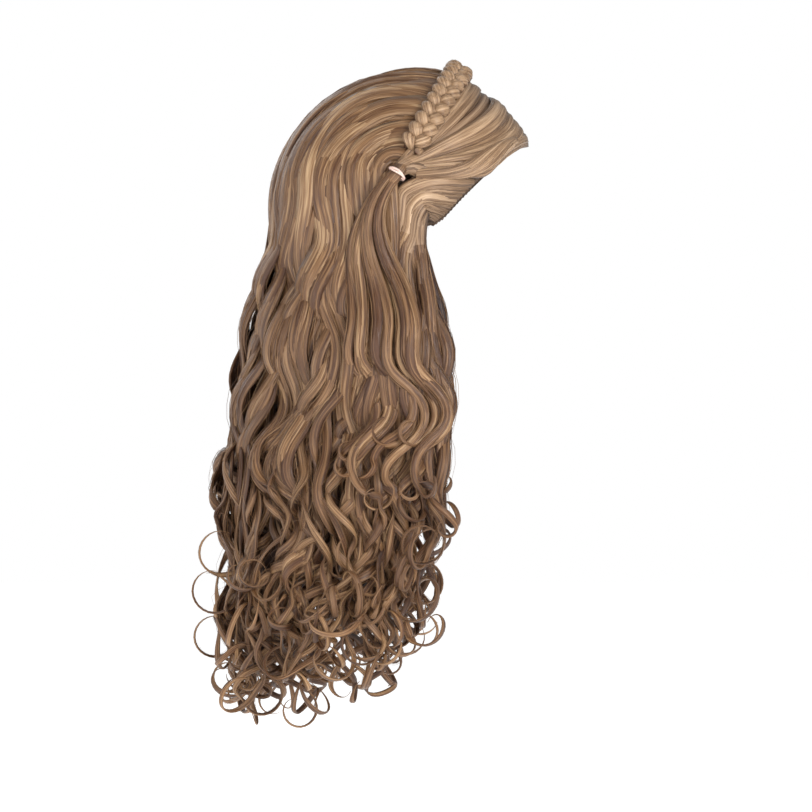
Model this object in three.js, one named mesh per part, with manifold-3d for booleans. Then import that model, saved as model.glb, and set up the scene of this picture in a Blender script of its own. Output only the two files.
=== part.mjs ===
// Long curled wig, worn shape: a stretch cap, hair swept back over the crown, a three-strand braid laid across
// the head like a headband, front hair swept back to a small elastic above each ear, and hanging curls.
// Millimetres, +Z up, the face looks along -Y and the wearer's right side is -X.
// The origin is the top of the head, on the inside of the cap.
import * as THREE from "three";
import { mergeVertices } from "three/addons/utils/BufferGeometryUtils.js";
import Module from "manifold-3d";

const wasm = await Module();
wasm.setup();

// Head that the cap fits: down to its widest level, and from there to the bottom of the nape's curve
const headLength = 188;
const headBreadth = 152;
const headHeight = 95;
const napeDepth = 112;
const capWall = 1.5;
const gap = 0.3; // between neighbouring pieces

// Hair over the cap, and how its ridges stand out
const hairTop = 17;
const hairSide = 15;
const hairFront = 10;
const hairBack = 28;
const crownDrop = 115; // from the top of the head to the level where the curls begin to hang
const crownRidges = 11;
const frontRidges = 9;
const ridgeDepth = 4;
const partingGap = 0.8;
const hairlineReach = 3; // of hair beyond the cap's edge

// Elastics, with the axis through both of them that the hair's locks turn about; angles are from the face up
const tieBack = 18;
const tieDrop = 71;
const tieWire = 1.3;
const neckRadius = 6; // of the tied hair in its elastic
const neckLength = 16;
const neckSplay = 10; // degrees that the tied hair leaves the head sideways
const tailFall = 50; // degrees that it leaves below the horizontal
const braidAngle = 59;
const templeAngle = 1;
const sweepBow = 13; // degrees that the front locks bow downwards on their way

// Braid
const braidPitch = 33; // one full weave of the three strands
const braidSway = 6.6;
const braidLift = 3.6;
const braidProud = 1.6; // of its middle over the hair
const braidEnd = 24; // from the elastics' axis
const strandWide = 3.8;
const strandThick = 2.8;
const strandPinch = 0.55; // of a strand's size where it passes under the others

// Roll along the hairline
const rollWide = 8.5;
const rollThick = 5;

// Hanging hair
const hairLength = 401; // from crownDrop to the lowest curl
const flareSide = 24;
const flareBack = 36;
const waveCount = 1.5; // waves over the full length, before they tighten downwards
const waveTightening = 1.9;
const waveSway = 9;
const waveDepth = 6; // of a wave in and out
const curlCount = 22;
const curlRadius = 14;
const curlTip = 2.4;
const hookTurn = 265; // degrees that a lock's end curls round
const tailLength = 235;
const tailWide = 8;
const tailThick = 5;
const napeCount = 7;
const napeSpread = 42; // degrees to each side of the back
const napeHair = 6;
const napeLength = 250;
const napeWaves = 2.4;
const napeFlare = 10;

// Hairline seen from the side: y as a share of headLength, drop as a share of headHeight
const hairline = [
  { y: -0.56, drop: 0.44 },
  { y: -0.46, drop: 0.46 },
  { y: -0.37, drop: 0.56 },
  { y: -0.29, drop: 0.74 },
  { y: -0.2, drop: 0.91 },
  { y: -0.12, drop: 1.08 },
  { y: -0.06, drop: 1.16 },
  { y: 0.0, drop: 1.19 },
  { y: 0.08, drop: 1.2 },
  { y: 0.15, drop: 1.32 },
  { y: 0.21, drop: 1.57 },
  { y: 0.27, drop: 1.76 },
  { y: 0.56, drop: 1.76 },
];

// Roll from the forehead along the hairline to the elastic: tilt from the middle and turn about the elastics'
// axis in degrees, then shares of its width and thickness
const rollCourse = [
  { tilt: 12, turn: 16, wide: 0.4, thick: 0.5 },
  { tilt: 33, turn: 14, wide: 0.75, thick: 0.8 },
  { tilt: 44, turn: 9, wide: 1.0, thick: 1.0 },
  { tilt: 54, turn: 3.5, wide: 0.85, thick: 0.95 },
  { tilt: 62, turn: 1, wide: 0.65, thick: 0.8 },
  { tilt: 72, turn: 0, wide: 0.5, thick: 0.7 },
  { tilt: 80, turn: 0, wide: 0.45, thick: 0.6 },
];

// Hanging hair from its top to its lowest curl, at shares of hairLength: shares of the two flares, of the
// quarter turn from the back to the ear, of the waves' sway and depth, and of a lock's room and depth
const curtain = [
  { drop: 0.0, flare: 0.0, turn: 1.0, wave: 0.0, wide: 0.92, deep: 0.9 },
  { drop: 0.12, flare: 0.29, turn: 1.05, wave: 0.35, wide: 0.9, deep: 1.0 },
  { drop: 0.3, flare: 0.75, turn: 1.14, wave: 0.9, wide: 0.88, deep: 1.2 },
  { drop: 0.5, flare: 1.0, turn: 1.18, wave: 1.0, wide: 0.86, deep: 1.2 },
  { drop: 0.75, flare: 0.95, turn: 1.16, wave: 1.0, wide: 0.78, deep: 1.0 },
  { drop: 1.0, flare: 0.8, turn: 1.1, wave: 0.9, wide: 0.5, deep: 0.6 },
];

// Length of a curl as a share of hairLength: at the back, what is lost by the face, and by every other curl
const curlReach = { back: 0.955, byFace: 0.2, alternate: 0.08 };

// Locks of the tied hair below an elastic: degrees round from the back, and share of tailLength
const tailLocks = [
  { angle: 74, length: 1 },
  { angle: 58, length: 0.85 },
];

const radians = THREE.MathUtils.degToRad;
const { lerp, clamp } = THREE.MathUtils;
const far = 1000;
const downwards = new THREE.Vector3(0, 0, -1);
const sideways = new THREE.Vector3(-1, 0, 0);
const headCentre = new THREE.Vector3(0, 0, -headHeight);
const tieAxis = new THREE.Vector3(0, tieBack, -tieDrop);
const head = headHalves(0);
const hair = {
  side: head.side + hairSide,
  front: head.front + hairFront,
  back: head.back + hairBack,
  top: head.top + hairTop,
  below: far, // the hair hangs straight down from the widest level
};
const ring = hangingRing();

// Half axes of the head, grown by a margin
function headHalves(margin) {
  return {
    side: headBreadth / 2 + margin,
    front: headLength / 2 + margin,
    back: headLength / 2 + margin,
    top: headHeight + margin,
    below: napeDepth + margin,
  };
}

// Half axes of a lopsided ellipsoid on the side of its centre where a point lies
function axesAt(p, halves) {
  const y = p.y < 0 ? halves.front : halves.back;
  const z = p.z < 0 ? halves.below : halves.top;
  return new THREE.Vector3(halves.side, y, z);
}

// Unit direction at a turn about the elastics' axis, from the face upwards, and a tilt to the wearer's left
function direction(turn, tilt) {
  const across = Math.cos(radians(tilt));
  return new THREE.Vector3(
    Math.sin(radians(tilt)),
    -across * Math.cos(radians(turn)),
    across * Math.sin(radians(turn)),
  );
}

// Outward normal of the hair's surface at a point
function outwardOf(point) {
  const p = point.clone().sub(headCentre);
  const axes = axesAt(p, hair);
  return p.divide(axes).divide(axes).normalize();
}

// Point on the hair's surface, seen from the elastics' axis, and raised over it
function onHair(turn, tilt, proud) {
  const from = tieAxis.clone().sub(headCentre);
  const along = direction(turn, tilt);
  let inside = 0;
  let outside = far;
  for (let i = 0; i < 40; i++) {
    const middle = (inside + outside) / 2;
    const p = from.clone().addScaledVector(along, middle);
    if (p.divide(axesAt(p, hair)).lengthSq() < 1) inside = middle;
    else outside = middle;
  }
  const point = tieAxis.clone().addScaledVector(along, inside);
  return point.addScaledVector(outwardOf(point), proud);
}

function closedGeometry(points, faces) {
  const geometry = new THREE.BufferGeometry();
  const values = points.flatMap((p) => [p.x, p.y, p.z]);
  geometry.setAttribute("position", new THREE.Float32BufferAttribute(values, 3));
  geometry.setIndex(faces);
  geometry.computeVertexNormals();
  return geometry;
}

function solidOf(geometry) {
  const bare = new THREE.BufferGeometry();
  bare.setAttribute("position", geometry.getAttribute("position"));
  bare.setIndex(geometry.index);
  const merged = mergeVertices(bare, 1e-4);
  const vertProperties = merged.attributes.position.array;
  const triVerts = new Uint32Array(merged.index.array);
  return new wasm.Manifold(new wasm.Mesh({ numProp: 3, vertProperties, triVerts }));
}

function geometryOf(solid) {
  const { numProp, vertProperties, triVerts } = solid.getMesh();
  const points = [];
  for (let i = 0; i < vertProperties.length; i += numProp) {
    points.push(new THREE.Vector3(vertProperties[i], vertProperties[i + 1], vertProperties[i + 2]));
  }
  return closedGeometry(points, Array.from(triVerts));
}

// Largest body of a solid, without the slivers that a cut leaves
function mainBody(solid) {
  return solid.decompose().reduce((main, body) => (body.volume() > main.volume() ? body : main));
}

// Same solid on the wearer's other side
function mirrored(solid) {
  const geometry = geometryOf(solid).scale(-1, 1, 1);
  const faces = geometry.index.array;
  for (let i = 0; i < faces.length; i += 3) [faces[i + 1], faces[i + 2]] = [faces[i + 2], faces[i + 1]];
  return solidOf(geometry);
}

function evenly(from, to, count) {
  return Array.from({ length: count }, (_, i) => from + ((to - from) * i) / (count - 1));
}

// Closed form on a polar grid about the elastics' axis; place gives the point at a turn and a tilt
function polarForm(turns, tilts, place) {
  const rows = tilts.map((tilt, row) => turns.map((turn, column) => place(turn, tilt, column, row)));
  const points = [place(0, -90, -1, -1), ...rows.flat(), place(0, 90, -1, -1)];
  const columns = turns.length;
  const last = points.length - 1;
  const faces = [];
  for (let c = 0; c < columns; c++) {
    const d = (c + 1) % columns;
    faces.push(0, 1 + c, 1 + d, last, last - columns + d, last - columns + c);
    for (let r = 0; r + 1 < tilts.length; r++) {
      const a = 1 + r * columns;
      const b = a + columns;
      faces.push(a + c, b + d, a + d, a + c, b + c, b + d);
    }
  }
  return solidOf(closedGeometry(points, faces));
}

// Head form, with one set of facets for the cap and for all that clears it
function headForm(margin) {
  const sphere = new THREE.SphereGeometry(1, 24, 12).rotateX(Math.PI / 2);
  const position = sphere.getAttribute("position");
  const halves = headHalves(margin);
  for (let i = 0; i < position.count; i++) {
    const p = new THREE.Vector3().fromBufferAttribute(position, i);
    p.multiply(axesAt(p, halves)).add(headCentre);
    position.setXYZ(i, p.x, p.y, p.z);
  }
  return solidOf(sphere);
}

// Prism whose outline is given in side view as [y, z] points, from one x to another
function prismAcross(outline, fromX, toX) {
  const shape = new THREE.Shape(outline.map(([y, z]) => new THREE.Vector2(y, z)));
  const prism = new THREE.ExtrudeGeometry(shape, { depth: toX - fromX, bevelEnabled: false, steps: 1 });
  const turn = new THREE.Matrix4().set(0, 0, 1, fromX, 1, 0, 0, 0, 0, 1, 0, 0, 0, 0, 0, 1);
  return solidOf(mergeVertices(bareGeometry(prism.applyMatrix4(turn)), 1e-4));
}

function bareGeometry(geometry) {
  geometry.deleteAttribute("normal");
  geometry.deleteAttribute("uv");
  return geometry;
}

// Everything below a level
function belowLevel(z) {
  return prismAcross([[-far, z], [-far, -far], [far, -far], [far, z]], -far, far);
}

// Everything below the hairline, lowered by a margin
function belowHairline(margin) {
  const edge = hairline.map(({ y, drop }) => [y * headLength, -drop * headHeight - margin]);
  edge[0][0] = -far;
  edge[edge.length - 1][0] = far;
  return prismAcross([...edge, [far, -far], [-far, -far]], -far, far);
}

// Wedge about the elastics' axis between two turns, drawn in by half a gap at each face
function sector(fromTurn, toTurn) {
  const middle = direction((fromTurn + toTurn) / 2, 0);
  const inset = gap / 2 / Math.sin(radians((toTurn - fromTurn) / 2));
  const apex = tieAxis.clone().addScaledVector(middle, inset);
  const rim = evenly(toTurn, fromTurn, 5).map((turn) => direction(turn, 0).multiplyScalar(far).add(apex));
  return prismAcross([...rim, apex].map((p) => [p.y, p.z]), -far, far);
}

// Lock along a path, with an oval section: centre, outward and half give its middle, facing and half sizes at
// a share t of the way; grow makes it larger all round, and start is what its first end faces
function sweptLock({ centre, outward, half, steps, sides, grow = 0, start = null }) {
  const points = [];
  for (let i = 0; i <= steps; i++) {
    const t = i / steps;
    const ahead = centre(Math.min(1, t + 1e-3)).sub(centre(Math.max(0, t - 1e-3))).normalize();
    const tangent = i === 0 && start ? start : ahead;
    const out = outward(t).clone();
    out.addScaledVector(tangent, -out.dot(tangent)).normalize();
    const across = new THREE.Vector3().crossVectors(tangent, out);
    const { wide, thick } = half(t);
    const middle = centre(t);
    if (i === 0) middle.addScaledVector(tangent, -grow);
    if (i === steps) middle.addScaledVector(tangent, grow);
    for (let j = 0; j < sides; j++) {
      const a = (2 * Math.PI * j) / sides;
      const p = middle.clone().addScaledVector(out, (thick + grow) * Math.cos(a));
      points.push(p.addScaledVector(across, (wide + grow) * Math.sin(a)));
    }
  }
  const corner = (i, j) => i * sides + (j % sides);
  const faces = [];
  for (let i = 0; i < steps; i++) {
    for (let j = 0; j < sides; j++) {
      const [a, b, c, d] = [corner(i, j), corner(i, j + 1), corner(i + 1, j + 1), corner(i + 1, j)];
      faces.push(a, b, c, a, c, d);
    }
  }
  for (let j = 1; j + 1 < sides; j++) {
    faces.push(corner(0, 0), corner(0, j + 1), corner(0, j));
    faces.push(corner(steps, 0), corner(steps, j), corner(steps, j + 1));
  }
  return closedGeometry(points, faces);
}

// Value between evenly placed ones, at a share of the way along them
function between(values, t) {
  const place = t * (values.length - 1);
  const before = Math.min(Math.floor(place), values.length - 2);
  return lerp(values[before], values[before + 1], place - before);
}

// Value of a column of the curtain table at a share of hairLength
function curtainValue(column, share) {
  const upper = Math.max(1, curtain.findIndex((row) => row.drop >= Math.min(share, 1)));
  const [a, b] = [curtain[upper - 1], curtain[upper]];
  return lerp(a[column], b[column], clamp((share - a.drop) / (b.drop - a.drop), 0, 1));
}

// Half axes of the ring where the hair starts to hang, midway through it, and half its depth
function hangingRing() {
  const level = Math.sqrt(1 - clamp((crownDrop - headHeight) / napeDepth, 0, 0.9) ** 2);
  const inner = headHalves(capWall + 2 * gap);
  return {
    side: (inner.side * level + hair.side) / 2,
    back: (inner.back * level + hair.back) / 2,
    sideHalf: (hair.side - inner.side * level) / 2,
    backHalf: (hair.back - inner.back * level) / 2,
  };
}

function outwardAt(angle) {
  return new THREE.Vector3(-Math.sin(angle) / ring.side, Math.cos(angle) / ring.back, 0).normalize();
}

function acrossAt(angle) {
  const outward = outwardAt(angle);
  return new THREE.Vector3(outward.y, -outward.x, 0);
}

// Phase by which a lock's waves lag: it grows towards the back, so that neighbours wave nearly together
function waveLag(angle) {
  return 3.8 * (0.5 - Math.abs(angle) / Math.PI);
}

function lockDepth(angle) {
  return Math.hypot(ring.sideHalf * Math.sin(angle), ring.backHalf * Math.cos(angle));
}

// Point of the hanging hair: angle round from the back (positive to the wearer's right), share of hairLength,
// and distance outside the middle of the ring
function hangingPoint(angle, share, out) {
  const flare = curtainValue("flare", share);
  const wave = curtainValue("wave", share);
  const turned = angle * curtainValue("turn", share);
  const phase = 2 * Math.PI * (waveCount * share + waveTightening * share * share) + waveLag(angle);
  const x = -(ring.side + flareSide * flare) * Math.sin(turned);
  const y = (ring.back + flareBack * flare) * Math.cos(turned);
  const z = -crownDrop - gap - share * (hairLength - gap);
  return new THREE.Vector3(x, y, z)
    .addScaledVector(acrossAt(turned), waveSway * wave * Math.sin(phase))
    .addScaledVector(outwardAt(turned), out - waveDepth * wave * Math.cos(phase));
}

// Room that each lock has on the ring at a share of hairLength
function lockRoom(angle, share) {
  const flare = curtainValue("flare", share);
  const turn = curtainValue("turn", share);
  const side = (ring.side + flareSide * flare) * Math.cos(angle * turn);
  const back = (ring.back + flareBack * flare) * Math.sin(angle * turn);
  const lagStep = Math.abs(waveLag(0) - waveLag(Math.PI / (curlCount - 1)));
  return ((Math.PI * turn) / (curlCount - 1)) * Math.hypot(side, back) - waveSway * lagStep;
}

function makeCap() {
  return headForm(capWall).subtract(headForm(0)).subtract(belowHairline(0));
}

// Hair over the crown: ridges run back over the head from the braid to crownDrop
function makeCrown() {
  const tilts = evenly(-84, 84, 2 * crownRidges + 1);
  const turns = [...evenly(braidAngle - 6, 276, 12), 330, 385];
  const place = (turn, tilt, column, row) => onHair(turn, tilt, row % 2 === 0 ? -ridgeDepth : 0);
  return polarForm(turns, tilts, place)
    .intersect(sector(braidAngle, 270))
    .subtract(headForm(capWall + gap))
    .subtract(belowLevel(-crownDrop));
}

// Front hair of the right side: ridges fan from the parting to the elastic
function makeFrontFan() {
  const [low, high] = [-96, braidAngle + 8];
  const ridges = evenly(low, high, 2 * frontRidges + 1);
  const turns = [...ridges, ...evenly(high, low + 360, 8).slice(1, -1)];
  const tilts = [-80, -66, -52, -38, -24, -10, 12, 45, 75];
  const bow = (tilt) => sweepBow * Math.sin(radians(2 * Math.abs(tilt)));
  const relief = (column) => (column < ridges.length && column % 2 === 0 ? -ridgeDepth : 0);
  const place = (turn, tilt, column) => onHair(turn - bow(tilt), tilt, relief(column));
  return polarForm(turns, tilts, place)
    .subtract(headForm(capWall + gap))
    .subtract(belowHairline(hairlineReach))
    .subtract(belowLevel(-crownDrop))
    .subtract(prismAcross([[-far, far], [-far, -far], [far, -far], [far, far]], -partingGap / 2, far));
}

// Middle of the braid over the head, in a plane through the elastics' axis
function braidLine() {
  const lastTilt = THREE.MathUtils.radToDeg(Math.atan2(hair.side, braidEnd));
  return new THREE.CatmullRomCurve3(
    evenly(-lastTilt, lastTilt, 33).map((tilt) => onHair(braidAngle, tilt, braidProud)),
  );
}

// Directions across the braid and out of the head
function braidFrame(line, t) {
  const across = direction(braidAngle - 90, 0).negate();
  const out = new THREE.Vector3().crossVectors(across, line.getTangentAt(t)).normalize();
  if (out.dot(outwardOf(line.getPointAt(t))) < 0) out.negate();
  return { across, out };
}

function makeBraidStrand(index) {
  const line = braidLine();
  const weaves = line.getLength() / braidPitch;
  const phase = (t) => 2 * Math.PI * (weaves * t + index / 3);
  const centre = (t) => {
    const { across, out } = braidFrame(line, t);
    const point = line.getPointAt(t).addScaledVector(across, braidSway * Math.sin(phase(t)));
    return point.addScaledVector(out, braidLift * Math.sin(2 * phase(t)));
  };
  const half = (t) => {
    const fullness = lerp(strandPinch, 1, Math.sin(phase(t)) ** 2);
    return { wide: strandWide * fullness, thick: strandThick * fullness };
  };
  const steps = Math.round(weaves * 7);
  return sweptLock({ centre, outward: (t) => braidFrame(line, t).out, half, steps, sides: 5 });
}

// Bed that the braid lies in, a little longer than the braid, so that its slanted ends are clear
function braidBed() {
  const line = braidLine();
  const beyond = (t) => strandWide * (t === 0 ? -1 : t === 1 ? 1 : 0);
  return solidOf(sweptLock({
    centre: (t) => line.getPointAt(t).addScaledVector(line.getTangentAt(t), beyond(t)),
    outward: (t) => braidFrame(line, t).out,
    half: () => ({ wide: braidSway + strandWide, thick: braidLift + strandThick }),
    steps: 20,
    sides: 8,
    grow: 6 * gap,
  }));
}

// Right elastic's middle, and the way that the tied hair runs through it
function tiePlace() {
  const point = new THREE.Vector3(-hair.side - neckRadius / 3, tieBack, -tieDrop);
  const fall = direction(180 + tailFall, -neckSplay);
  return { point, along: fall };
}

// Tied hair inside the elastic, from a share of neckLength ahead of it to a share behind
function neckForm(grow) {
  const { point, along } = tiePlace();
  return solidOf(sweptLock({
    centre: (t) => point.clone().addScaledVector(along, neckLength * (t - 0.7)),
    outward: () => sideways,
    half: () => ({ wide: neckRadius, thick: neckRadius }),
    steps: 1,
    sides: 10,
    grow,
  }));
}

function tieForm(grow) {
  const { point, along } = tiePlace();
  const torus = new THREE.TorusGeometry(neckRadius + gap + tieWire, tieWire + grow, 5, 14);
  torus.applyQuaternion(new THREE.Quaternion().setFromUnitVectors(new THREE.Vector3(0, 0, 1), along));
  return bareGeometry(torus.translate(point.x, point.y, point.z));
}

function rollForm(grow) {
  const places = rollCourse.map(({ tilt, turn }) => onHair(turn, -tilt, 0));
  const line = new THREE.CatmullRomCurve3(places);
  const share = (column, t) => between(rollCourse.map((row) => row[column]), t);
  return solidOf(sweptLock({
    centre: (t) => line.getPoint(t),
    outward: (t) => outwardOf(line.getPoint(t)),
    half: (t) => ({ wide: rollWide * share("wide", t), thick: rollThick * share("thick", t) }),
    steps: 12,
    sides: 6,
    grow,
  }));
}

// Tied hair below the elastic, lying over the hanging curls
function tailForm(grow) {
  return tailLocks.map((lock) => tailLock(lock, grow)).reduce((all, lock) => all.add(lock));
}

function tailLock({ angle, length }, grow) {
  const { point, along } = tiePlace();
  const round = radians(angle);
  const neckEnd = point.clone().addScaledVector(along, neckLength * 0.3);
  const start = neckEnd.clone().addScaledVector(along, 2 * gap + grow);
  const over = neckEnd.clone().addScaledVector(along, 2 * neckRadius);
  over.x = -hair.side - tailThick - 2;
  over.y += neckRadius * (1 - angle / 90);
  const points = [start, over];
  for (const share of evenly(0.03, 0.03 + (length * tailLength) / hairLength, 9)) {
    const out = lockDepth(round) * curtainValue("deep", share) + tailThick + 2;
    points.push(hangingPoint(round, share, out));
  }
  const curve = new THREE.CatmullRomCurve3(points);
  const fullness = (t) => 0.45 + 0.55 * Math.sin(Math.PI * (0.1 + 0.85 * t));
  return solidOf(sweptLock({
    centre: (t) => curve.getPointAt(t),
    outward: (t) => (t < 0.15 ? sideways : outwardAt(round)),
    half: (t) => ({ wide: tailWide * fullness(t), thick: tailThick * fullness(t) }),
    steps: 15,
    sides: 5,
    grow,
    start: along,
  }));
}

// Hanging lock of the outer ring, which ends in a hook: outwards on one lock and inwards on the next
function makeCurl(index) {
  const angle = Math.PI * (0.5 - index / (curlCount - 1));
  const towardsFace = Math.abs(angle) / (Math.PI / 2);
  const alternate = index % 2;
  const share = curlReach.back - curlReach.byFace * towardsFace ** 3 - curlReach.alternate * alternate;
  const radius = curlRadius * (alternate ? 0.8 : 1);
  const hookFrom = 2 / 3; // of the lock's sections
  const hang = (f) => hangingPoint(angle, f * share, 0);
  const end = hang(1);
  const along = end.clone().sub(hang(0.98)).normalize();
  const aim = outwardAt(angle).multiplyScalar(alternate ? -1 : 1);
  aim.addScaledVector(along, -aim.dot(along)).normalize();
  const hook = (t) => {
    const turned = radians(hookTurn) * t;
    const point = end.clone().addScaledVector(along, radius * Math.sin(turned));
    return point.addScaledVector(aim, radius * (1 - Math.cos(turned)));
  };
  const half = (t) => {
    const hung = Math.min(1, t / hookFrom) * share;
    const wide = 0.5 * lockRoom(angle, hung) * curtainValue("wide", hung);
    const thick = lockDepth(angle) * curtainValue("deep", hung);
    const fade = clamp((t - hookFrom) / (1 - hookFrom), 0, 1);
    return { wide: lerp(wide, curlTip, fade), thick: lerp(thick, curlTip, fade) };
  };
  return sweptLock({
    centre: (t) => (t <= hookFrom ? hang(t / hookFrom) : hook((t - hookFrom) / (1 - hookFrom))),
    outward: () => outwardAt(angle),
    half,
    steps: 18,
    sides: 5,
    start: downwards,
  });
}

// Lock that hangs from the cap's edge at the nape, inside the outer ring
function makeNapeLock(index) {
  const angle = radians(napeSpread) * (1 - (2 * index) / (napeCount - 1));
  const edge = hairline[hairline.length - 1].drop * headHeight;
  const level = Math.sqrt(1 - ((edge - headHeight) / napeDepth) ** 2);
  const halves = headHalves(capWall / 2);
  const length = napeLength * (index % 2 ? 0.85 : 1);
  const outward = new THREE.Vector3(-Math.sin(angle), Math.cos(angle), 0);
  const across = new THREE.Vector3(Math.cos(angle), Math.sin(angle), 0);
  const x = -halves.side * level * Math.sin(angle);
  const y = halves.back * level * Math.cos(angle);
  const centre = (t) => {
    const phase = 2 * Math.PI * napeWaves * t + waveLag(angle);
    const wave = 0.5 * Math.min(1, 3 * t);
    return new THREE.Vector3(x, y, -edge - gap - length * t)
      .addScaledVector(across, waveSway * wave * Math.sin(phase))
      .addScaledVector(outward, waveDepth * wave * (1 - Math.cos(phase)) + napeFlare * t);
  };
  const half = (t) => {
    const size = napeHair * between([0.8, 1, 0.95, 0.8, 0.65, 0.4], t);
    return { wide: size, thick: size };
  };
  return sweptLock({ centre, outward: () => outward, half, steps: 10, sides: 5, start: downwards });
}

const wig = new THREE.Group();
const leftSide = new THREE.Group();
leftSide.scale.x = -1;
wig.add(leftSide);

const colours = {
  cap: 0x5d4a3b,
  crown: 0x967a61,
  front: 0xaf9175,
  braid: 0xa2856a,
  curl: 0x7d614a,
  elastic: 0xe6c6b8,
};

function addPiece(group, name, geometry, colour, roughness = 0.42) {
  const material = new THREE.MeshStandardMaterial({ color: colours[colour], roughness, metalness: 0 });
  const mesh = new THREE.Mesh(geometry, material);
  mesh.name = name;
  group.add(mesh);
}

function addPair(name, geometry, colour, roughness) {
  addPiece(wig, `${name}_right`, geometry, colour, roughness);
  addPiece(leftSide, `${name}_left`, geometry, colour, roughness);
}

const bed = braidBed();
const neckRoom = neckForm(gap);
const tieRoom = solidOf(tieForm(gap));
const tailRoom = tailForm(gap);
const fan = makeFrontFan().subtract(bed).subtract(tieRoom).subtract(rollForm(gap));
const front = fan.intersect(sector(templeAngle, braidAngle)).add(neckForm(0));
const temple = fan.intersect(sector(-90, templeAngle)).subtract(neckRoom).subtract(tailRoom);
const roll = rollForm(0).subtract(neckRoom).subtract(tieRoom);
const crown = [neckRoom, tieRoom, tailRoom].reduce(
  (left, room) => left.subtract(room).subtract(mirrored(room)),
  makeCrown().subtract(bed),
);

addPiece(wig, "cap", geometryOf(makeCap()), "cap", 0.85);
addPiece(wig, "crown_hair", geometryOf(mainBody(crown)), "crown");
for (let i = 0; i < 3; i++) addPiece(wig, `braid_strand_${i + 1}`, makeBraidStrand(i), "braid");
addPair("front_sweep", geometryOf(mainBody(front)), "front");
addPair("hairline_roll", geometryOf(mainBody(roll)), "front");
addPair("temple_hair", geometryOf(mainBody(temple)), "front");
addPair("hair_tie", tieForm(0), "elastic", 0.35);
addPair("tied_tail", geometryOf(tailForm(0)), "curl");
for (let i = 0; i < curlCount; i++) {
  addPiece(wig, `curl_lock_${String(i + 1).padStart(2, "0")}`, makeCurl(i), "curl");
}
for (let i = 0; i < napeCount; i++) addPiece(wig, `nape_lock_${i + 1}`, makeNapeLock(i), "curl");

export default wig;
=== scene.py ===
# Long curled wig: hair swept back under a crown braid, tied above the ears, falling in waves that end in curls
# Metres, +Z up, the face looks along -Y, and the origin is the top of the head on the inside of the cap
import math

import bpy
import numpy as np
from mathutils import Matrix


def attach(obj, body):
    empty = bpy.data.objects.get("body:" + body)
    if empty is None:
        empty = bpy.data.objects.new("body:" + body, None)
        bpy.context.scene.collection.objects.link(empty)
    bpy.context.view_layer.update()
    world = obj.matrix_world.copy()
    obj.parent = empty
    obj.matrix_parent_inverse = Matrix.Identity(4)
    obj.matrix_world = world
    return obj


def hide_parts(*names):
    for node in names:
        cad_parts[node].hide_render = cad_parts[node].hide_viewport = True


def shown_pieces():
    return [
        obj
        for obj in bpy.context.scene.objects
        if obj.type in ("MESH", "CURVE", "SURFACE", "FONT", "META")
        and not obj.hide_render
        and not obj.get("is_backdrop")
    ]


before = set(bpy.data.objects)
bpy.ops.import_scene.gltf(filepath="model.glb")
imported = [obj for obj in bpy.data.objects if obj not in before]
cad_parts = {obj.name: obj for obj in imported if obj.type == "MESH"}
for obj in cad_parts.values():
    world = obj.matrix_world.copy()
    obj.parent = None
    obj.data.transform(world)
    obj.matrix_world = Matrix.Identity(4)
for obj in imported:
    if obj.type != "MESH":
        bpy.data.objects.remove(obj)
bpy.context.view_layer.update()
print("frame loaded:", len(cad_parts), "nodes")

pi = math.pi
far = 1.0
mm = 0.001

# Head, and the hair's smooth outer form over it, as half axes
head = dict(side=0.076, front=0.094, back=0.094, top=0.095, below=0.112, long=0.188, wall=0.0015, napeEdge=1.76)
hairForm = dict(side=0.091, front=0.104, back=0.122, top=0.112, below=far)
headCentre = np.array([0.0, 0.0, -head["top"]])
tieAxis = np.array([0.0, 0.018, -0.071])  # through both elastics
crownDrop = 0.115  # where the hair starts to hang
capClear = 0.0021  # from the inside of the cap to the first hair

# Hairline seen from the side: y as a share of the head's length, drop as a share of its height
hairline = np.array([
    (-0.56, 0.44), (-0.46, 0.46), (-0.37, 0.56), (-0.29, 0.74), (-0.20, 0.91), (-0.12, 1.08), (-0.06, 1.16),
    (0.00, 1.19), (0.08, 1.20), (0.15, 1.32), (0.21, 1.57), (0.27, 1.76), (0.56, 1.76),
])

# Hanging hair from its top to the lowest curl, in shares
hanging = dict(
    length=0.401, flareSide=0.024, flareBack=0.036, waves=1.5, tightening=1.9, sway=0.009, depth=0.006,
    lagRound=3.8, ringletGrowth=0.3, ringletFacing=0.8,
)
curtain = dict(
    drop=[0.0, 0.12, 0.3, 0.5, 0.75, 1.0],
    flare=[0.0, 0.29, 0.75, 1.0, 0.95, 0.8],
    turn=[1.0, 1.05, 1.14, 1.18, 1.16, 1.1],
    wave=[0.0, 0.35, 0.9, 1.0, 1.0, 0.9],
    deep=[0.9, 1.0, 1.2, 1.2, 1.0, 0.6],
)


def unit(v):
    return v / np.maximum(np.linalg.norm(v, axis=-1, keepdims=True), 1e-9)


def ease(t):
    t = np.clip(t, 0, 1)
    return t * t * (3 - 2 * t)


def runAlong(points):
    steps = np.linalg.norm(np.diff(points, axis=0), axis=1)
    return np.concatenate([[0], np.cumsum(steps)])


def curtainAt(column, share):
    return np.interp(share, curtain["drop"], curtain[column])


def hairlineLevel(y):
    return -head["top"] * np.interp(np.asarray(y) / head["long"], hairline[:, 0], hairline[:, 1])


# Unit direction at a turn about the elastics' axis, from the face upwards, and a tilt to the wearer's left
def direction(turn, tilt):
    turn, tilt = np.radians(turn), np.radians(tilt)
    return np.stack([np.sin(tilt), -np.cos(tilt) * np.cos(turn), np.cos(tilt) * np.sin(turn)], -1)


def axesAt(p, form):
    y = np.where(p[..., 1] < 0, form["front"], form["back"])
    z = np.where(p[..., 2] < 0, form["below"], form["top"])
    return np.stack([np.full_like(y, form["side"]), y, z], -1)


def outwardOf(points):
    p = points - headCentre
    return unit(p / axesAt(p, hairForm) ** 2)


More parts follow.
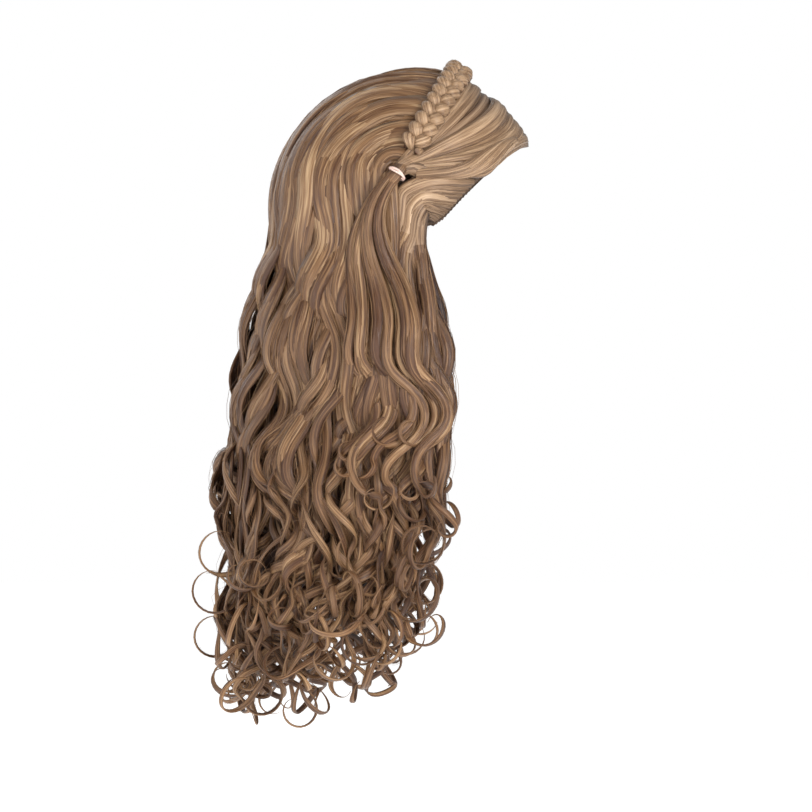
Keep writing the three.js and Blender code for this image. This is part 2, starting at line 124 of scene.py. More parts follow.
# Positions with the way they face, which is how every lock's path is given
def faced(points):
    return np.hstack([points, outwardOf(points)])


# Points on the hair's outer form, seen from the elastics' axis and raised over it
def onHair(turn, tilt, proud=0.0):
    turn, tilt, proud = np.broadcast_arrays(np.asarray(turn, float), np.asarray(tilt, float), proud)
    along = direction(turn, tilt)
    inside, outside = np.zeros(turn.shape), np.full(turn.shape, far)
    halvings = 34
    for _ in range(halvings):
        middle = (inside + outside) / 2
        p = tieAxis - headCentre + along * middle[..., None]
        within = ((p / axesAt(p, hairForm)) ** 2).sum(-1) < 1
        inside, outside = np.where(within, middle, inside), np.where(within, outside, middle)
    points = tieAxis + along * inside[..., None]
    return points + outwardOf(points) * proud[..., None]


# Points on the side of the hair's outer form at a place seen from the side
def onHairSide(y, z, side, proud=0.0):
    y, z, proud = np.broadcast_arrays(np.asarray(y, float), np.asarray(z, float), proud)
    p = np.stack([np.zeros_like(y), y, z], -1) - headCentre
    level = np.sqrt(np.clip(1 - ((p / axesAt(p, hairForm)) ** 2).sum(-1), 0, 1))
    points = np.stack([side * hairForm["side"] * level, y, z], -1)
    return points + outwardOf(points) * proud[..., None]


# Ring where the hair starts to hang: its middle, and half its depth
innerLevel = math.sqrt(1 - ((crownDrop - head["top"]) / head["below"]) ** 2)
innerSide, innerBack = [(head[k] + capClear) * innerLevel for k in ("side", "back")]
ring = dict(
    side=(innerSide + hairForm["side"]) / 2, back=(innerBack + hairForm["back"]) / 2,
    sideHalf=(hairForm["side"] - innerSide) / 2, backHalf=(hairForm["back"] - innerBack) / 2,
)


def outwardAt(angle):
    v = np.stack([-np.sin(angle) / ring["side"], np.cos(angle) / ring["back"], np.zeros_like(angle)], -1)
    return unit(v)


def acrossAt(angle):
    out = outwardAt(angle)
    return np.stack([out[..., 1], -out[..., 0], np.zeros_like(out[..., 0])], -1)


def waveLag(angle):
    return hanging["lagRound"] * (0.5 - abs(angle) / pi)


def lockDepth(angle):
    return np.hypot(ring["sideHalf"] * np.sin(angle), ring["backHalf"] * np.cos(angle))


# Positions and facings of a hanging lock at shares of the hair's length. angle goes round from the back,
# positive to the wearer's right, and depth is from -1 on the inside to 1 on the outside
def hang(angle, shares, depth, style):
    shares = np.asarray(shares, float)
    flare, wave = curtainAt("flare", shares), curtainAt("wave", shares)
    angles = angle + style["drift"] * ease(shares)
    turned = angles * curtainAt("turn", shares)
    lag = waveLag(angle) + style["lag"] + style["stray"] * shares
    phase = 2 * pi * (hanging["waves"] * shares + hanging["tightening"] * shares**2) + lag
    across, out = acrossAt(turned), outwardAt(turned)
    x = -(ring["side"] + hanging["flareSide"] * flare) * np.sin(turned)
    y = (ring["back"] + hanging["flareBack"] * flare) * np.cos(turned)
    p = np.stack([x, y, -crownDrop - shares * hanging["length"]], -1)
    inBy = hanging["depth"] * wave * np.cos(phase) * style["depth"]
    outBy = lockDepth(angle) * curtainAt("deep", shares) * depth - inBy
    p = p + across * (hanging["sway"] * wave * style["sway"] * np.sin(phase))[:, None] + out * outBy[:, None]
    grown = ease((shares - style["ringletFrom"]) / hanging["ringletGrowth"])
    spin = style["hand"] * 2 * pi * shares * hanging["length"] / style["pitch"] + style["spin"]
    radial = across * np.cos(spin)[:, None] + out * np.sin(spin)[:, None]
    p = p + radial * (style["ringlet"] * grown)[:, None]
    turnedIn = (hanging["ringletFacing"] * grown)[:, None]
    return np.hstack([p, unit(out * (1 - turnedIn) + radial * turnedIn)])


# Smooth path through points, resampled at an even step, or closer where it bends. Columns past the third go
# along with the positions
def smoothPath(points, step, bend=None):
    p = np.asarray(points)
    chord = np.maximum(np.linalg.norm(np.diff(p[:, :3], axis=0), axis=1), 1e-6)[:, None]
    slope = np.diff(p, axis=0) / chord
    inner = (slope[:-1] * chord[1:] + slope[1:] * chord[:-1]) / (chord[1:] + chord[:-1])
    slopes = np.vstack([slope[:1], inner, slope[-1:]])
    t = np.linspace(0, 1, 8, endpoint=False)[None, :, None]
    chord = chord[:, :, None]
    fine = (2 * t**3 - 3 * t**2 + 1) * p[:-1, None] + (t**3 - 2 * t**2 + t) * chord * slopes[:-1, None]
    fine = fine + (3 * t**2 - 2 * t**3) * p[1:, None] + (t**3 - t**2) * chord * slopes[1:, None]
    fine = np.vstack([fine.reshape(-1, p.shape[1]), p[-1:]])
    moves = np.diff(fine[:, :3], axis=0)
    rows = np.linalg.norm(moves, axis=1) / step
    if bend:
        rows[1:] += np.linalg.norm(np.diff(unit(moves), axis=0), axis=1) / bend
    run = np.concatenate([[0], np.cumsum(rows)])
    at = np.linspace(0, run[-1], max(4, int(round(run[-1])) + 1))
    return np.stack([np.interp(at, run, column) for column in fine.T], -1)


# The cap's outer face under points
def onCap(points):
    p = points - headCentre
    return headCentre + p / np.linalg.norm(p / (axesAt(p, head) + head["wall"]), axis=-1, keepdims=True)


# Brings the start of a path down towards the cap
def rooted(path, length, share=0.9):
    down = share * (1 - ease(runAlong(path[:, :3]) / length))
    path = path.copy()
    path[:, :3] += (onCap(path[:, :3]) + mm * path[:, 3:6] - path[:, :3]) * down[:, None]
    return path


# Softens the bends of a path without moving its ends
def relaxed(path, passes):
    path = path.copy()
    for _ in range(passes):
        path[1:-1] = 0.25 * path[:-2] + 0.5 * path[1:-1] + 0.25 * path[2:]
    return path


# Sways a lock from side to side, more and more from under the crown downwards, and then in and out too
waving = dict(growth=0.11, inOut=0.62, inOutFrom=-0.09, inOutGrowth=0.08)


def waved(path, wave):
    z = path[:, 2]
    grown = wave["size"] * ease((wave["start"] - z) / waving["growth"])
    phase = wave["lag"] - 2 * pi * z / wave["length"]
    across = np.cross(unit(np.gradient(path[:, :3], axis=0)), path[:, 3:6])
    inOut = waving["inOut"] * grown * ease((waving["inOutFrom"] - z) / waving["inOutGrowth"]) * np.cos(phase)
    path = path.copy()
    path[:, :3] += across * (grown * np.sin(phase))[:, None]
    path[:, :3] += path[:, 3:6] * inOut[:, None]
    return path


# Adds a hook to the end of a path: the hair turns round in a narrowing loop towards a direction
hook = dict(degreesPerRow=14, fewestRows=8, facingTurn=1.2)


def hooked(path, aimAngle, radius, turn, narrowing, drift):
    end, along = path[-1, :3], unit(path[-1, :3] - path[-3, :3])
    across = unit(np.cross(along, path[-1, 3:6]))
    out = np.cross(across, along)
    aim = unit(across * math.cos(aimAngle) + out * math.sin(aimAngle))
    rows = max(hook["fewestRows"], int(abs(turn) / hook["degreesPerRow"]))
    share = np.arange(1, rows + 1) / rows
    turned = np.radians(turn) * np.arange(1, rows + 1) / rows
    heading = along * np.cos(turned)[:, None] + aim * np.sin(turned)[:, None] + np.cross(along, aim) * drift
    steps = radius * (1 - narrowing * share) * math.radians(turn) / rows
    p = end + np.cumsum(heading * steps[:, None], axis=0)
    inward = aim * np.cos(turned)[:, None] - along * np.sin(turned)[:, None]
    sign = 1.0 if aim @ path[-1, 3:6] > 0 else -1.0
    mix = ease(turned / hook["facingTurn"])[:, None]
    facing = unit(path[-1, 3:6] * (1 - mix) + sign * inward * mix)
    return np.vstack([path, np.hstack([p, facing])])


# Section of a lock: shallow flutes that wander round it, and painted shade on its sides, its back and its flutes'
# valleys, where its neighbours would shade it
section = dict(broad=3, narrow=5, broadTwist=2.5, narrowTwist=3, lockShade=1.2, lockShadeFade=0.8, lockShadeFlute=0.6)

# Where each tube lies on the map that is baked
baking = dict(gap=2 * mm, strandRoom=0.1, margin=0.04, used=0.92, low=0.012, tall=0.976, capTall=0.008)


def setAttribute(mesh, label, kind, values):
    field = "vector" if kind == "FLOAT_VECTOR" else "value"
    layer = mesh.attributes.new(label, kind, "POINT")
    layer.data.foreach_set(field, np.asarray(values).astype(np.float32).ravel())


# One piece of hair under construction: closed tubes and sheets, with the guides that fine strands follow
class HairPiece:
    def __init__(self, name, node, seed):
        self.name, self.node, self.seed = name, node, seed
        self.dice = np.random.default_rng(seed)
        self.tubes, self.guides = [], []

    # rings is an array of rows of points. A sheet's ends are closed with quads, and measures are those of the
    # whole lock where a tube is a part of one
    def addTube(self, rings, tone, along, shelter, root=0.0, sheet=False, measures=None):
        n, s = rings.shape[:2]

        def spread(value):
            value = np.asarray(value, float)
            return np.broadcast_to(value if value.ndim == 2 else value.reshape(-1, 1), (n, s)).ravel()

        self.tubes.append(dict(
            measures or self.measured(rings), points=rings.reshape(-1, 3), n=n, s=s, sheet=sheet,
            tone=spread(tone), along=spread(along), shelter=spread(shelter), root=spread(root),
        ))

    def measured(self, rings):
        width = np.linalg.norm(np.roll(rings, -1, 1) - rings, axis=2).sum(1).mean()
        return dict(width=width, run=runAlong(rings.mean(1)), shift=self.dice.uniform(0, 60))

    # path: position and facing in each row. wide and thick are half sizes along it, and onward gives the row
    # from which the lock belongs to another piece
    def addLock(self, path, wide, thick, tone=None, shelter=0.0, root=0.0, sides=8, flute=0.1, guide=True,
                along=(0, 1), onward=None):
        n = len(path)
        tone = self.dice.uniform(0, 1) if tone is None else tone
        centre, facing = path[:, :3], path[:, 3:6]
        ahead = unit(np.gradient(centre, axis=0))
        out = unit(facing - ahead * (facing * ahead).sum(1, keepdims=True))
        across = np.cross(ahead, out)
        wide, thick, shelter, root = [np.broadcast_to(value, n) for value in (wide, thick, shelter, root)]
        around = 2 * pi * np.arange(sides) / sides
        t = np.linspace(0, 1, n)[:, None]
        waves = np.cos(section["broad"] * around[None] + self.dice.uniform(0, 6) + section["broadTwist"] * t)
        waves = waves + np.cos(section["narrow"] * around[None] - section["narrowTwist"] * t)
        size = 1 + flute * waves * 0.5
        rings = centre[:, None] + out[:, None] * (thick[:, None] * np.cos(around) * size)[..., None]
        rings = rings + across[:, None] * (wide[:, None] * np.sin(around) * size)[..., None]
        share = np.linspace(along[0], along[1], n)
        # Painted shade: none on the lock's outer face, most on its back, less towards the tips, more in the flutes'
        # valleys
        lockShade = section["lockShade"] - section["lockShadeFade"] * share[:, None]
        lockShaded = shelter[:, None] + (0.5 - 0.5 * np.cos(around)) * lockShade - section["lockShadeFlute"] * flute * waves
        measures = self.measured(rings)
        block = np.column_stack([centre, across, out, wide, thick, np.full(n, tone), share, shelter, root])
        cut, other = onward or (n - 1, None)
        for piece, rows in ((self, slice(0, cut + 1)), (other, slice(cut, n))):
            if piece:
                part = dict(measures, run=measures["run"][rows])
                piece.addTube(rings[rows], tone, share[rows], lockShaded[rows], root[rows], measures=part)
                if guide:
                    count = len(block[rows])
                    keep = np.unique(np.linspace(0, count - 1, max(4, count // 2)).round().astype(int))
                    piece.guides.append(block[rows][keep])

    # Closed sheet under the locks, as thick as wall, through paths that lie side by side, darkened with painted shade
    # where the locks over it would shade it
    def addShell(self, paths, rows, wall, tone, shelter, root=0.0):
        keep = [np.linspace(0, len(path) - 1, rows).round().astype(int) for path in paths]
        grid = np.stack([path[k] for path, k in zip(paths, keep)], 1)
        outer, inner = grid[..., :3], grid[..., :3] - grid[..., 3:6] * wall
        rings = np.concatenate([outer, inner[:, ::-1]], axis=1)
        i, j = len(outer) // 2, outer.shape[1] // 2
        a, b = outer[i + 1, j] - outer[i, j], outer[i, j + 1] - outer[i, j]
        if np.cross(b, a) @ (outer[i, j] - inner[i, j]) < 0:
            rings = rings[::-1]
        self.addTube(rings, tone, 0.3, shelter, root, sheet=True)

    def makeMesh(self, strandRoom):
        points, loops, starts, bakeUv, hairUv, total, at = [], [], [], [], [], 0, 0
        widths = np.array([t["width"] + baking["gap"] for t in self.tubes])
        left = np.concatenate([[0], np.cumsum(widths)]) / widths.sum() * (1 - strandRoom)
        for k, t in enumerate(self.tubes):
            n, s, share, room = t["n"], t["s"], t["width"] / widths[k], left[k + 1] - left[k]
            i, j = np.arange(n - 1)[:, None], np.arange(s)[None]
            ends = (j + 1) % s
            quads = np.stack([i * s + j, i * s + ends, (i + 1) * s + ends, (i + 1) * s + j], -1).reshape(-1, 4)
            u = np.broadcast_to(np.stack([j, j + 1, j + 1, j], -1) / s, (n - 1, s, 4)).reshape(-1, 4)
            row = np.broadcast_to(np.stack([i, i, i + 1, i + 1], -1), (n - 1, s, 4)).reshape(-1, 4)
            loops.append(quads.ravel() + total)
            starts.append(at + 4 * np.arange(len(quads)))
            at += 4 * len(quads)
            strip = left[k] + (baking["margin"] + baking["used"] * share * u) * room
            bakeUv.append(np.stack([strip, baking["low"] + baking["tall"] * (row / (n - 1))], -1).reshape(-1, 2))
            hairUv.append(np.stack([u * t["width"] * 100 + t["shift"], t["run"][row] * 100], -1).reshape(-1, 2))
            for end, order in ((0, -1), (n - 1, 1)):
                if t["sheet"]:
                    c = np.arange(s // 2 - 1)
                    cap = np.stack([c, c + 1, s - 2 - c, s - 1 - c], -1)[:, ::order]
                else:
                    cap = np.arange(s)[None, ::order]
                corners = cap.size // len(cap)
                loops.append(cap.ravel() + end * s + total)
                starts.append(at + corners * np.arange(len(cap)))
                at += cap.size
                a = 2 * pi * np.arange(corners) / corners
                spot = np.stack([0.5 + 0.3 * np.cos(a), 0.5 + 0.3 * np.sin(a)], -1)
                spot = spot * [room, baking["capTall"]] + [left[k], 0.001 if end == 0 else 0.991]
                spot = np.tile(spot, (len(cap), 1))
                bakeUv.append(spot)
                hairUv.append(np.array([[t["shift"], t["run"][end] * 100]]) + 0.1 * spot)
            points.append(t["points"])
            total += n * s
        mesh = bpy.data.meshes.new(self.name)
        points, loops, starts = np.vstack(points), np.concatenate(loops), np.concatenate(starts)
        mesh.vertices.add(len(points))
        mesh.vertices.foreach_set("co", points.ravel())
        mesh.loops.add(len(loops))
        mesh.loops.foreach_set("vertex_index", loops.astype(np.int32))
        mesh.polygons.add(len(starts))
        mesh.polygons.foreach_set("loop_start", starts.astype(np.int32))
        mesh.update(calc_edges=True)
        for layer, values in (("OFBake", bakeUv), ("hairMap", hairUv)):
            mesh.uv_layers.new(name=layer).uv.foreach_set("vector", np.vstack(values).astype(np.float32).ravel())
        # shelter is painted shade: how far each point's colour is darkened where neighbouring locks would shade it
        for key in ("tone", "along", "shelter", "root"):
            setAttribute(mesh, key, "FLOAT", np.concatenate([t[key] for t in self.tubes]))
        return mesh

    def makeGuides(self):
        rows, edges, total = np.vstack(self.guides), [], 0
        for g in self.guides:
            k = np.arange(len(g) - 1) + total
            edges.append(np.stack([k, k + 1], -1))
            total += len(g)
        edges = np.vstack(edges)
        mesh = bpy.data.meshes.new(self.name + "Guides")
        mesh.vertices.add(len(rows))
        mesh.vertices.foreach_set("co", rows[:, :3].ravel())
        mesh.edges.add(len(edges))
        mesh.edges.foreach_set("vertices", edges.astype(np.int32).ravel())
        setAttribute(mesh, "across", "FLOAT_VECTOR", rows[:, 3:6])
        setAttribute(mesh, "outward", "FLOAT_VECTOR", rows[:, 6:9])
        for column, key in enumerate(("wide", "thick", "tone", "along", "shelter", "root"), 9):
            setAttribute(mesh, key, "FLOAT", rows[:, column])
        guides = bpy.data.objects.new(self.name + "Guides", mesh)
        bpy.context.scene.collection.objects.link(guides)
        return guides

    # Makes the piece's mesh, grows its fine strands, and hands it to the frame
    def finish(self, material, slot, strands=None, flyaways=None):
        layers = [sizes for sizes in (strands, flyaways) if sizes]
        piece = bpy.data.objects.new(self.name, self.makeMesh(baking["strandRoom"] if layers else 0.0))
        bpy.context.scene.collection.objects.link(piece)
        if layers:
            guides = self.makeGuides()
            for k, sizes in enumerate(layers):
                addStrands(piece, guides, material, sizes, self.seed + 100 * k)
            graph = bpy.context.evaluated_depsgraph_get()
            shaped = piece.evaluated_get(graph)
            mesh = bpy.data.meshes.new_from_object(shaped, preserve_all_data_layers=True, depsgraph=graph)
            piece.modifiers.clear()
            piece.data = mesh
            bpy.data.objects.remove(guides)
        else:
            piece.data.materials.append(material)
        piece.data.name = self.name
        corners = np.empty(len(piece.data.polygons), np.int32)
        piece.data.polygons.foreach_get("loop_total", corners)
        piece.data.polygons.foreach_set("use_smooth", corners < 6)  # the flat ends of locks have more
        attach(piece, "root")
        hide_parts(self.node)
        return piece


# Short ways to make, set and link the nodes of a tree
class NodeBench:
    def __init__(self, tree):
        self.nodes, self.links = tree.nodes, tree.links

    def feed(self, made, socket, source):
        if isinstance(source, bpy.types.NodeSocket):
            self.links.new(source, made.inputs[socket])
        else:
            made.inputs[socket].default_value = source

    def node(self, kind, inputs=(), **settings):
        made = self.nodes.new(kind)
        for key, value in settings.items():
            setattr(made, key, value)
        for socket, source in dict(inputs).items():
            self.feed(made, socket, source)
        return made

    def maths(self, operation, *values, clamp=False):
        inputs = dict(enumerate(values))
        return self.node("ShaderNodeMath", inputs, operation=operation, use_clamp=clamp).outputs[0]

    def vectors(self, operation, a, b):
        second = "Scale" if operation == "SCALE" else 1
        return self.node("ShaderNodeVectorMath", {0: a, second: b}, operation=operation).outputs[0]


# Geometry Nodes: fine strands over a piece's locks

strandInputs = (
    ("Guides", "NodeSocketObject"), ("Strands", "NodeSocketInt"), ("Strand radius", "NodeSocketFloat"),
    ("Spread", "NodeSocketFloat"), ("Frizz", "NodeSocketFloat"), ("Shortest", "NodeSocketFloat"),
    ("Seed", "NodeSocketInt"), ("Material", "NodeSocketMaterial"),
)
strandLook = dict(
    around=1.7 * pi, rise=4.0, inset=0.97, noise=22.0, noiseShift=7.0, loose=0.9, tight=0.1, thinning=0.8,
    strips=12.0, stripsFrom=0.9015, stripWide=0.0055, lockTone=0.55, ownTone=0.5, hairShift=50.0, hairRun=40.0,
)


def makeStrandTree():
    tree = bpy.data.node_groups.new("strandsOverLocks", "GeometryNodeTree")
    for label, kind in (("Geometry", "NodeSocketGeometry"), *strandInputs):
        tree.interface.new_socket(label, in_out="INPUT", socket_type=kind)
    tree.interface.new_socket("Geometry", in_out="OUTPUT", socket_type="NodeSocketGeometry")
    bench, look = NodeBench(tree), strandLook
    node, maths, vectors = bench.node, bench.maths, bench.vectors
    given = node("NodeGroupInput").outputs

    def named(label, kind="FLOAT"):
        return node("GeometryNodeInputNamedAttribute", {"Name": label}, data_type=kind).outputs["Attribute"]

    def store(geometry, label, value, kind, domain):
        inputs = {"Geometry": geometry, "Name": label, "Value": value}
        return node("GeometryNodeStoreNamedAttribute", inputs, data_type=kind, domain=domain).outputs["Geometry"]

    guides = node("GeometryNodeObjectInfo", {"Object": given["Guides"]}, transform_space="ORIGINAL")
    curves = node("GeometryNodeMeshToCurve", {"Mesh": guides.outputs["Geometry"]})
    copies = {"Geometry": curves.outputs["Curve"], "Amount": given["Strands"]}
    copies = node("GeometryNodeDuplicateElements", copies, domain="SPLINE")
    seed = {"Seed": maths("ADD", given["Seed"], 1.0)}
    dice = node("FunctionNodeRandomValue", seed, data_type="FLOAT_VECTOR").outputs["Value"]
    geometry = store(copies.outputs["Geometry"], "strandDice", dice, "FLOAT_VECTOR", "CURVE")
    geometry = store(geometry, "strandLuck", named("strandDice", "FLOAT_VECTOR"), "FLOAT_VECTOR", "POINT")
    factor = node("GeometryNodeSplineParameter").outputs["Factor"]
    geometry = store(geometry, "strandRun", factor, "FLOAT", "POINT")

    # Each strand keeps its own way round the lock, and loosens towards its end
    luckX, luckY, luckZ = node("ShaderNodeSeparateXYZ", {0: named("strandLuck", "FLOAT_VECTOR")}).outputs
    run = named("strandRun")
    around = maths("MULTIPLY", maths("SUBTRACT", luckX, 0.5), look["around"])
    rising = maths("MINIMUM", maths("MULTIPLY", run, look["rise"]), 1.0)
    lift = maths("MULTIPLY_ADD", maths("MULTIPLY", luckY, rising), given["Spread"], look["inset"])
    lift = maths("ADD", lift, maths("MULTIPLY", maths("MULTIPLY", run, given["Spread"]), luckZ))
    outBy = maths("MULTIPLY", maths("MULTIPLY", maths("COSINE", around), named("thick")), lift)
    acrossBy = maths("MULTIPLY", maths("MULTIPLY", maths("SINE", around), named("wide")), lift)
    outwards = vectors("SCALE", named("outward", "FLOAT_VECTOR"), outBy)
    offset = vectors("ADD", outwards, vectors("SCALE", named("across", "FLOAT_VECTOR"), acrossBy))
    shifted = vectors("SCALE", named("strandLuck", "FLOAT_VECTOR"), look["noiseShift"])
    place = vectors("ADD", node("GeometryNodeInputPosition").outputs[0], shifted)
    noise = {"Vector": place, "Scale": look["noise"], "Detail": 1.0}
    noise = node("ShaderNodeTexNoise", noise, noise_dimensions="3D").outputs["Color"]
    wander = vectors("ADD", noise, (-0.5, -0.5, -0.5))
    loosening = maths("MULTIPLY", given["Frizz"], maths("MULTIPLY_ADD", run, look["loose"], look["tight"]))
    offset = vectors("ADD", offset, vectors("SCALE", wander, loosening))
    moved = node("GeometryNodeSetPosition", {"Geometry": geometry, "Offset": offset})

    least = given["Shortest"]
    ownLength = node("ShaderNodeSeparateXYZ", {0: named("strandDice", "FLOAT_VECTOR")}).outputs[2]
    reach = maths("MULTIPLY_ADD", ownLength, maths("SUBTRACT", 1.0, least), least)
    trimmed = node("GeometryNodeTrimCurve", mode="FACTOR")
    bench.feed(trimmed, "Curve", moved.outputs["Geometry"])
    bench.feed(trimmed, "End", reach)
    taper = maths("SUBTRACT", 1.0, maths("MULTIPLY", maths("POWER", factor, 4.0), look["thinning"]))
    circle = node("GeometryNodeCurvePrimitiveCircle", {"Resolution": 3, "Radius": 1.0}, mode="RADIUS")
    tubes = node("GeometryNodeCurveToMesh", {
        "Curve": trimmed.outputs["Curve"], "Fill Caps": True,
        "Profile Curve": store(circle.outputs["Curve"], "strandSide", factor, "FLOAT", "POINT"),
        "Scale": maths("MULTIPLY", given["Strand radius"], taper),
    })

    # Strands share the room that the locks leave on the baked map
    strip = maths("MULTIPLY", maths("FLOOR", maths("MULTIPLY", luckY, look["strips"])), 0.1 / look["strips"])
    side = maths("MULTIPLY", named("strandSide"), look["stripWide"])
    u = maths("ADD", maths("ADD", strip, look["stripsFrom"]), side)
    v = maths("MULTIPLY_ADD", run, baking["tall"], baking["low"])
    bakeMap = node("ShaderNodeCombineXYZ", {0: u, 1: v}).outputs[0]
    made = store(tubes.outputs["Mesh"], "OFBake", bakeMap, "FLOAT2", "CORNER")
    u = maths("MULTIPLY_ADD", luckX, look["hairShift"], maths("MULTIPLY", named("strandSide"), 0.1))
    hairMap = node("ShaderNodeCombineXYZ", {0: u, 1: maths("MULTIPLY", run, look["hairRun"])}).outputs[0]
    made = store(made, "hairMap", hairMap, "FLOAT2", "CORNER")
    lockTone, ownTone = maths("MULTIPLY", named("tone"), look["lockTone"]), maths("MULTIPLY", luckY, look["ownTone"])
    made = store(made, "tone", maths("ADD", lockTone, ownTone), "FLOAT", "POINT")

    joined = node("GeometryNodeJoinGeometry", {0: given["Geometry"]})
    bench.feed(joined, 0, made)
    real = node("GeometryNodeRealizeInstances", {"Geometry": joined.outputs[0]})
    dressed = node("GeometryNodeSetMaterial", {"Geometry": real.outputs[0], "Material": given["Material"]})
    node("NodeGroupOutput", {0: dressed.outputs[0]})
    return tree


strandTree = makeStrandTree()
strandSockets = {s.name: s.identifier for s in strandTree.interface.items_tree if s.in_out == "INPUT"}


def addStrands(piece, guides, material, sizes, seed):
    modifier = piece.modifiers.new("strands", "NODES")
    modifier.node_group = strandTree
    for label, value in dict(sizes, Guides=guides, Seed=seed, Material=material).items():
        modifier[strandSockets[label]] = value


# Materials

def linear(red, green, blue):
    values = [c / 255 for c in (red, green, blue)]
    return tuple(c / 12.92 if c <= 0.04045 else ((c + 0.055) / 1.055) ** 2.4 for c in values) + (1.0,)


# Streaks and single strands along the hair, from 0 to 1. Their widths are in centimetres
def makeStriationGroup():
    group = bpy.data.node_groups.new("hairStriation", "ShaderNodeTree")
    for way, labels in (("INPUT", ("Strand width", "Streak width")), ("OUTPUT", ("Streak", "Strand"))):
        for label in labels:
            group.interface.new_socket(label, in_out=way, socket_type="NodeSocketFloat")
    bench = NodeBench(group)
    given, out = bench.node("NodeGroupInput").outputs, bench.node("NodeGroupOutput")
    uv = bench.node("ShaderNodeUVMap", uv_map="hairMap").outputs[0]
    for width, output, stretch, detail in (("Streak width", "Streak", 0.10, 2.0), ("Strand width", "Strand", 0.45, 1.0)):
        scale = bench.node("ShaderNodeCombineXYZ", {0: bench.maths("DIVIDE", 1.0, given[width]), 1: stretch})
        inputs = {"Vector": bench.vectors("MULTIPLY", uv, scale.outputs[0]), "Scale": 1.0, "Detail": detail}
        noise = bench.node("ShaderNodeTexNoise", inputs={}, noise_dimensions="2D")
        for socket, source in inputs.items():
            bench.feed(noise, socket, source)
        level = {"From Min": 0.36, "From Max": 0.64, "Value": noise.outputs["Fac"]}
        bench.feed(out, output, bench.node("ShaderNodeMapRange", level).outputs[0])
    return group


striationGroup = makeStriationGroup()


def startMaterial(name):
    material = bpy.data.materials.new(name)
    material.use_nodes = True
    bench = NodeBench(material.node_tree)
    return material, bench, bench.nodes["Principled BSDF"]


def makeRamp(bench, level, stops):
    ramp = bench.node("ShaderNodeValToRGB", {0: level})
    elements = ramp.color_ramp.elements
    for element, (colour, position) in zip(elements, (stops[0], stops[-1])):
        element.color, element.position = colour, position
    for colour, position in stops[1:-1]:
        elements.new(position).color = colour
    return ramp.outputs[0]


def addBump(bench, shader, height, strength, depth):
    inputs = {"Strength": strength, "Distance": depth, "Height": height}
    bench.feed(shader, "Normal", bench.node("ShaderNodeBump", inputs).outputs[0])


# Hair: streaks and strands pick a tone, which darkens at roots, takes painted shade between and under locks, and
# warms towards the tips
hairLook = dict(
    streak=0.5, strand=0.28, base=-0.12, tone=0.36, fall=-0.6, fallSquare=0.75, darkAt=0.05, lightAt=0.98,
    root=0.9, tips=0.6, shelter=0.95, gloss=0.14, bump=0.55, bumpDepth=0.0005, strandBump=0.5,
    sheen=0.04, sheenRoughness=0.4, ior=1.5,
    rootTone=linear(66, 47, 32), tipTone=linear(255, 236, 208), paintedShadeTone=linear(104, 68, 42),
)


def makeHairMaterial(name, dark, middle, light, roughness, strandWidth, streakWidth):
    material, bench, shader = startMaterial(name)
    look, node, maths = hairLook, bench.node, bench.maths

    def attribute(label):
        return node("ShaderNodeAttribute", attribute_name=label).outputs["Fac"]

    def mixed(factor, a, b, blend="MIX"):
        inputs = {0: factor, 6: a, 7: b}
        return node("ShaderNodeMix", inputs, data_type="RGBA", blend_type=blend).outputs[2]

    widths = {"Strand width": strandWidth, "Streak width": streakWidth}
    stripes = node("ShaderNodeGroup", widths, node_tree=striationGroup)
    streak, strand = stripes.outputs["Streak"], stripes.outputs["Strand"]
    level = maths("MULTIPLY_ADD", streak, look["streak"], maths("MULTIPLY_ADD", strand, look["strand"], look["base"]))
    level = maths("ADD", level, maths("MULTIPLY", attribute("tone"), look["tone"]))
    fall = attribute("along")
    level = maths("MULTIPLY_ADD", fall, maths("MULTIPLY_ADD", fall, look["fallSquare"], look["fall"]), level, clamp=True)
    tone = makeRamp(bench, level, ((dark, look["darkAt"]), (middle, 0.5), (light, look["lightAt"])))
    colour = mixed(maths("MULTIPLY", attribute("root"), look["root"]), tone, look["rootTone"])
    tips = maths("MULTIPLY", maths("POWER", attribute("along"), 2.0), look["tips"])
    colour = mixed(tips, colour, look["tipTone"], "MULTIPLY")
    # Painted shade: the colour is multiplied towards a deep brown as far as the painted shade attribute says
    shade = maths("MULTIPLY", attribute("shelter"), look["shelter"], clamp=True)
    bench.feed(shader, "Base Color", mixed(shade, colour, look["paintedShadeTone"], "MULTIPLY"))
    bench.feed(shader, "Roughness", maths("MULTIPLY_ADD", strand, look["gloss"], roughness))
    height = maths("MULTIPLY_ADD", streak, 1.0, maths("MULTIPLY", strand, look["strandBump"]))
    addBump(bench, shader, height, look["bump"], look["bumpDepth"])
    for socket, value in (("Sheen Weight", "sheen"), ("Sheen Roughness", "sheenRoughness"), ("IOR", "ior")):
        bench.feed(shader, socket, look[value])
    return material


hairTones = linear(80, 47, 22), linear(139, 103, 68), linear(205, 171, 131)
frontTones = linear(108, 79, 53), linear(168, 135, 102), linear(212, 180, 146)
crownFinish = makeHairMaterial("crownHairFinish", *hairTones, 0.34, 0.03, 0.16)
frontFinish = makeHairMaterial("frontHairFinish", *frontTones, 0.34, 0.03, 0.16)
braidFinish = makeHairMaterial("braidHairFinish", *frontTones, 0.34, 0.03, 0.16)
curlFinish = makeHairMaterial("curledHairFinish", *hairTones, 0.36, 0.03, 0.16)
print("materials ready")


# Hanging curls: the locks that hang together share a part of their waves and curls

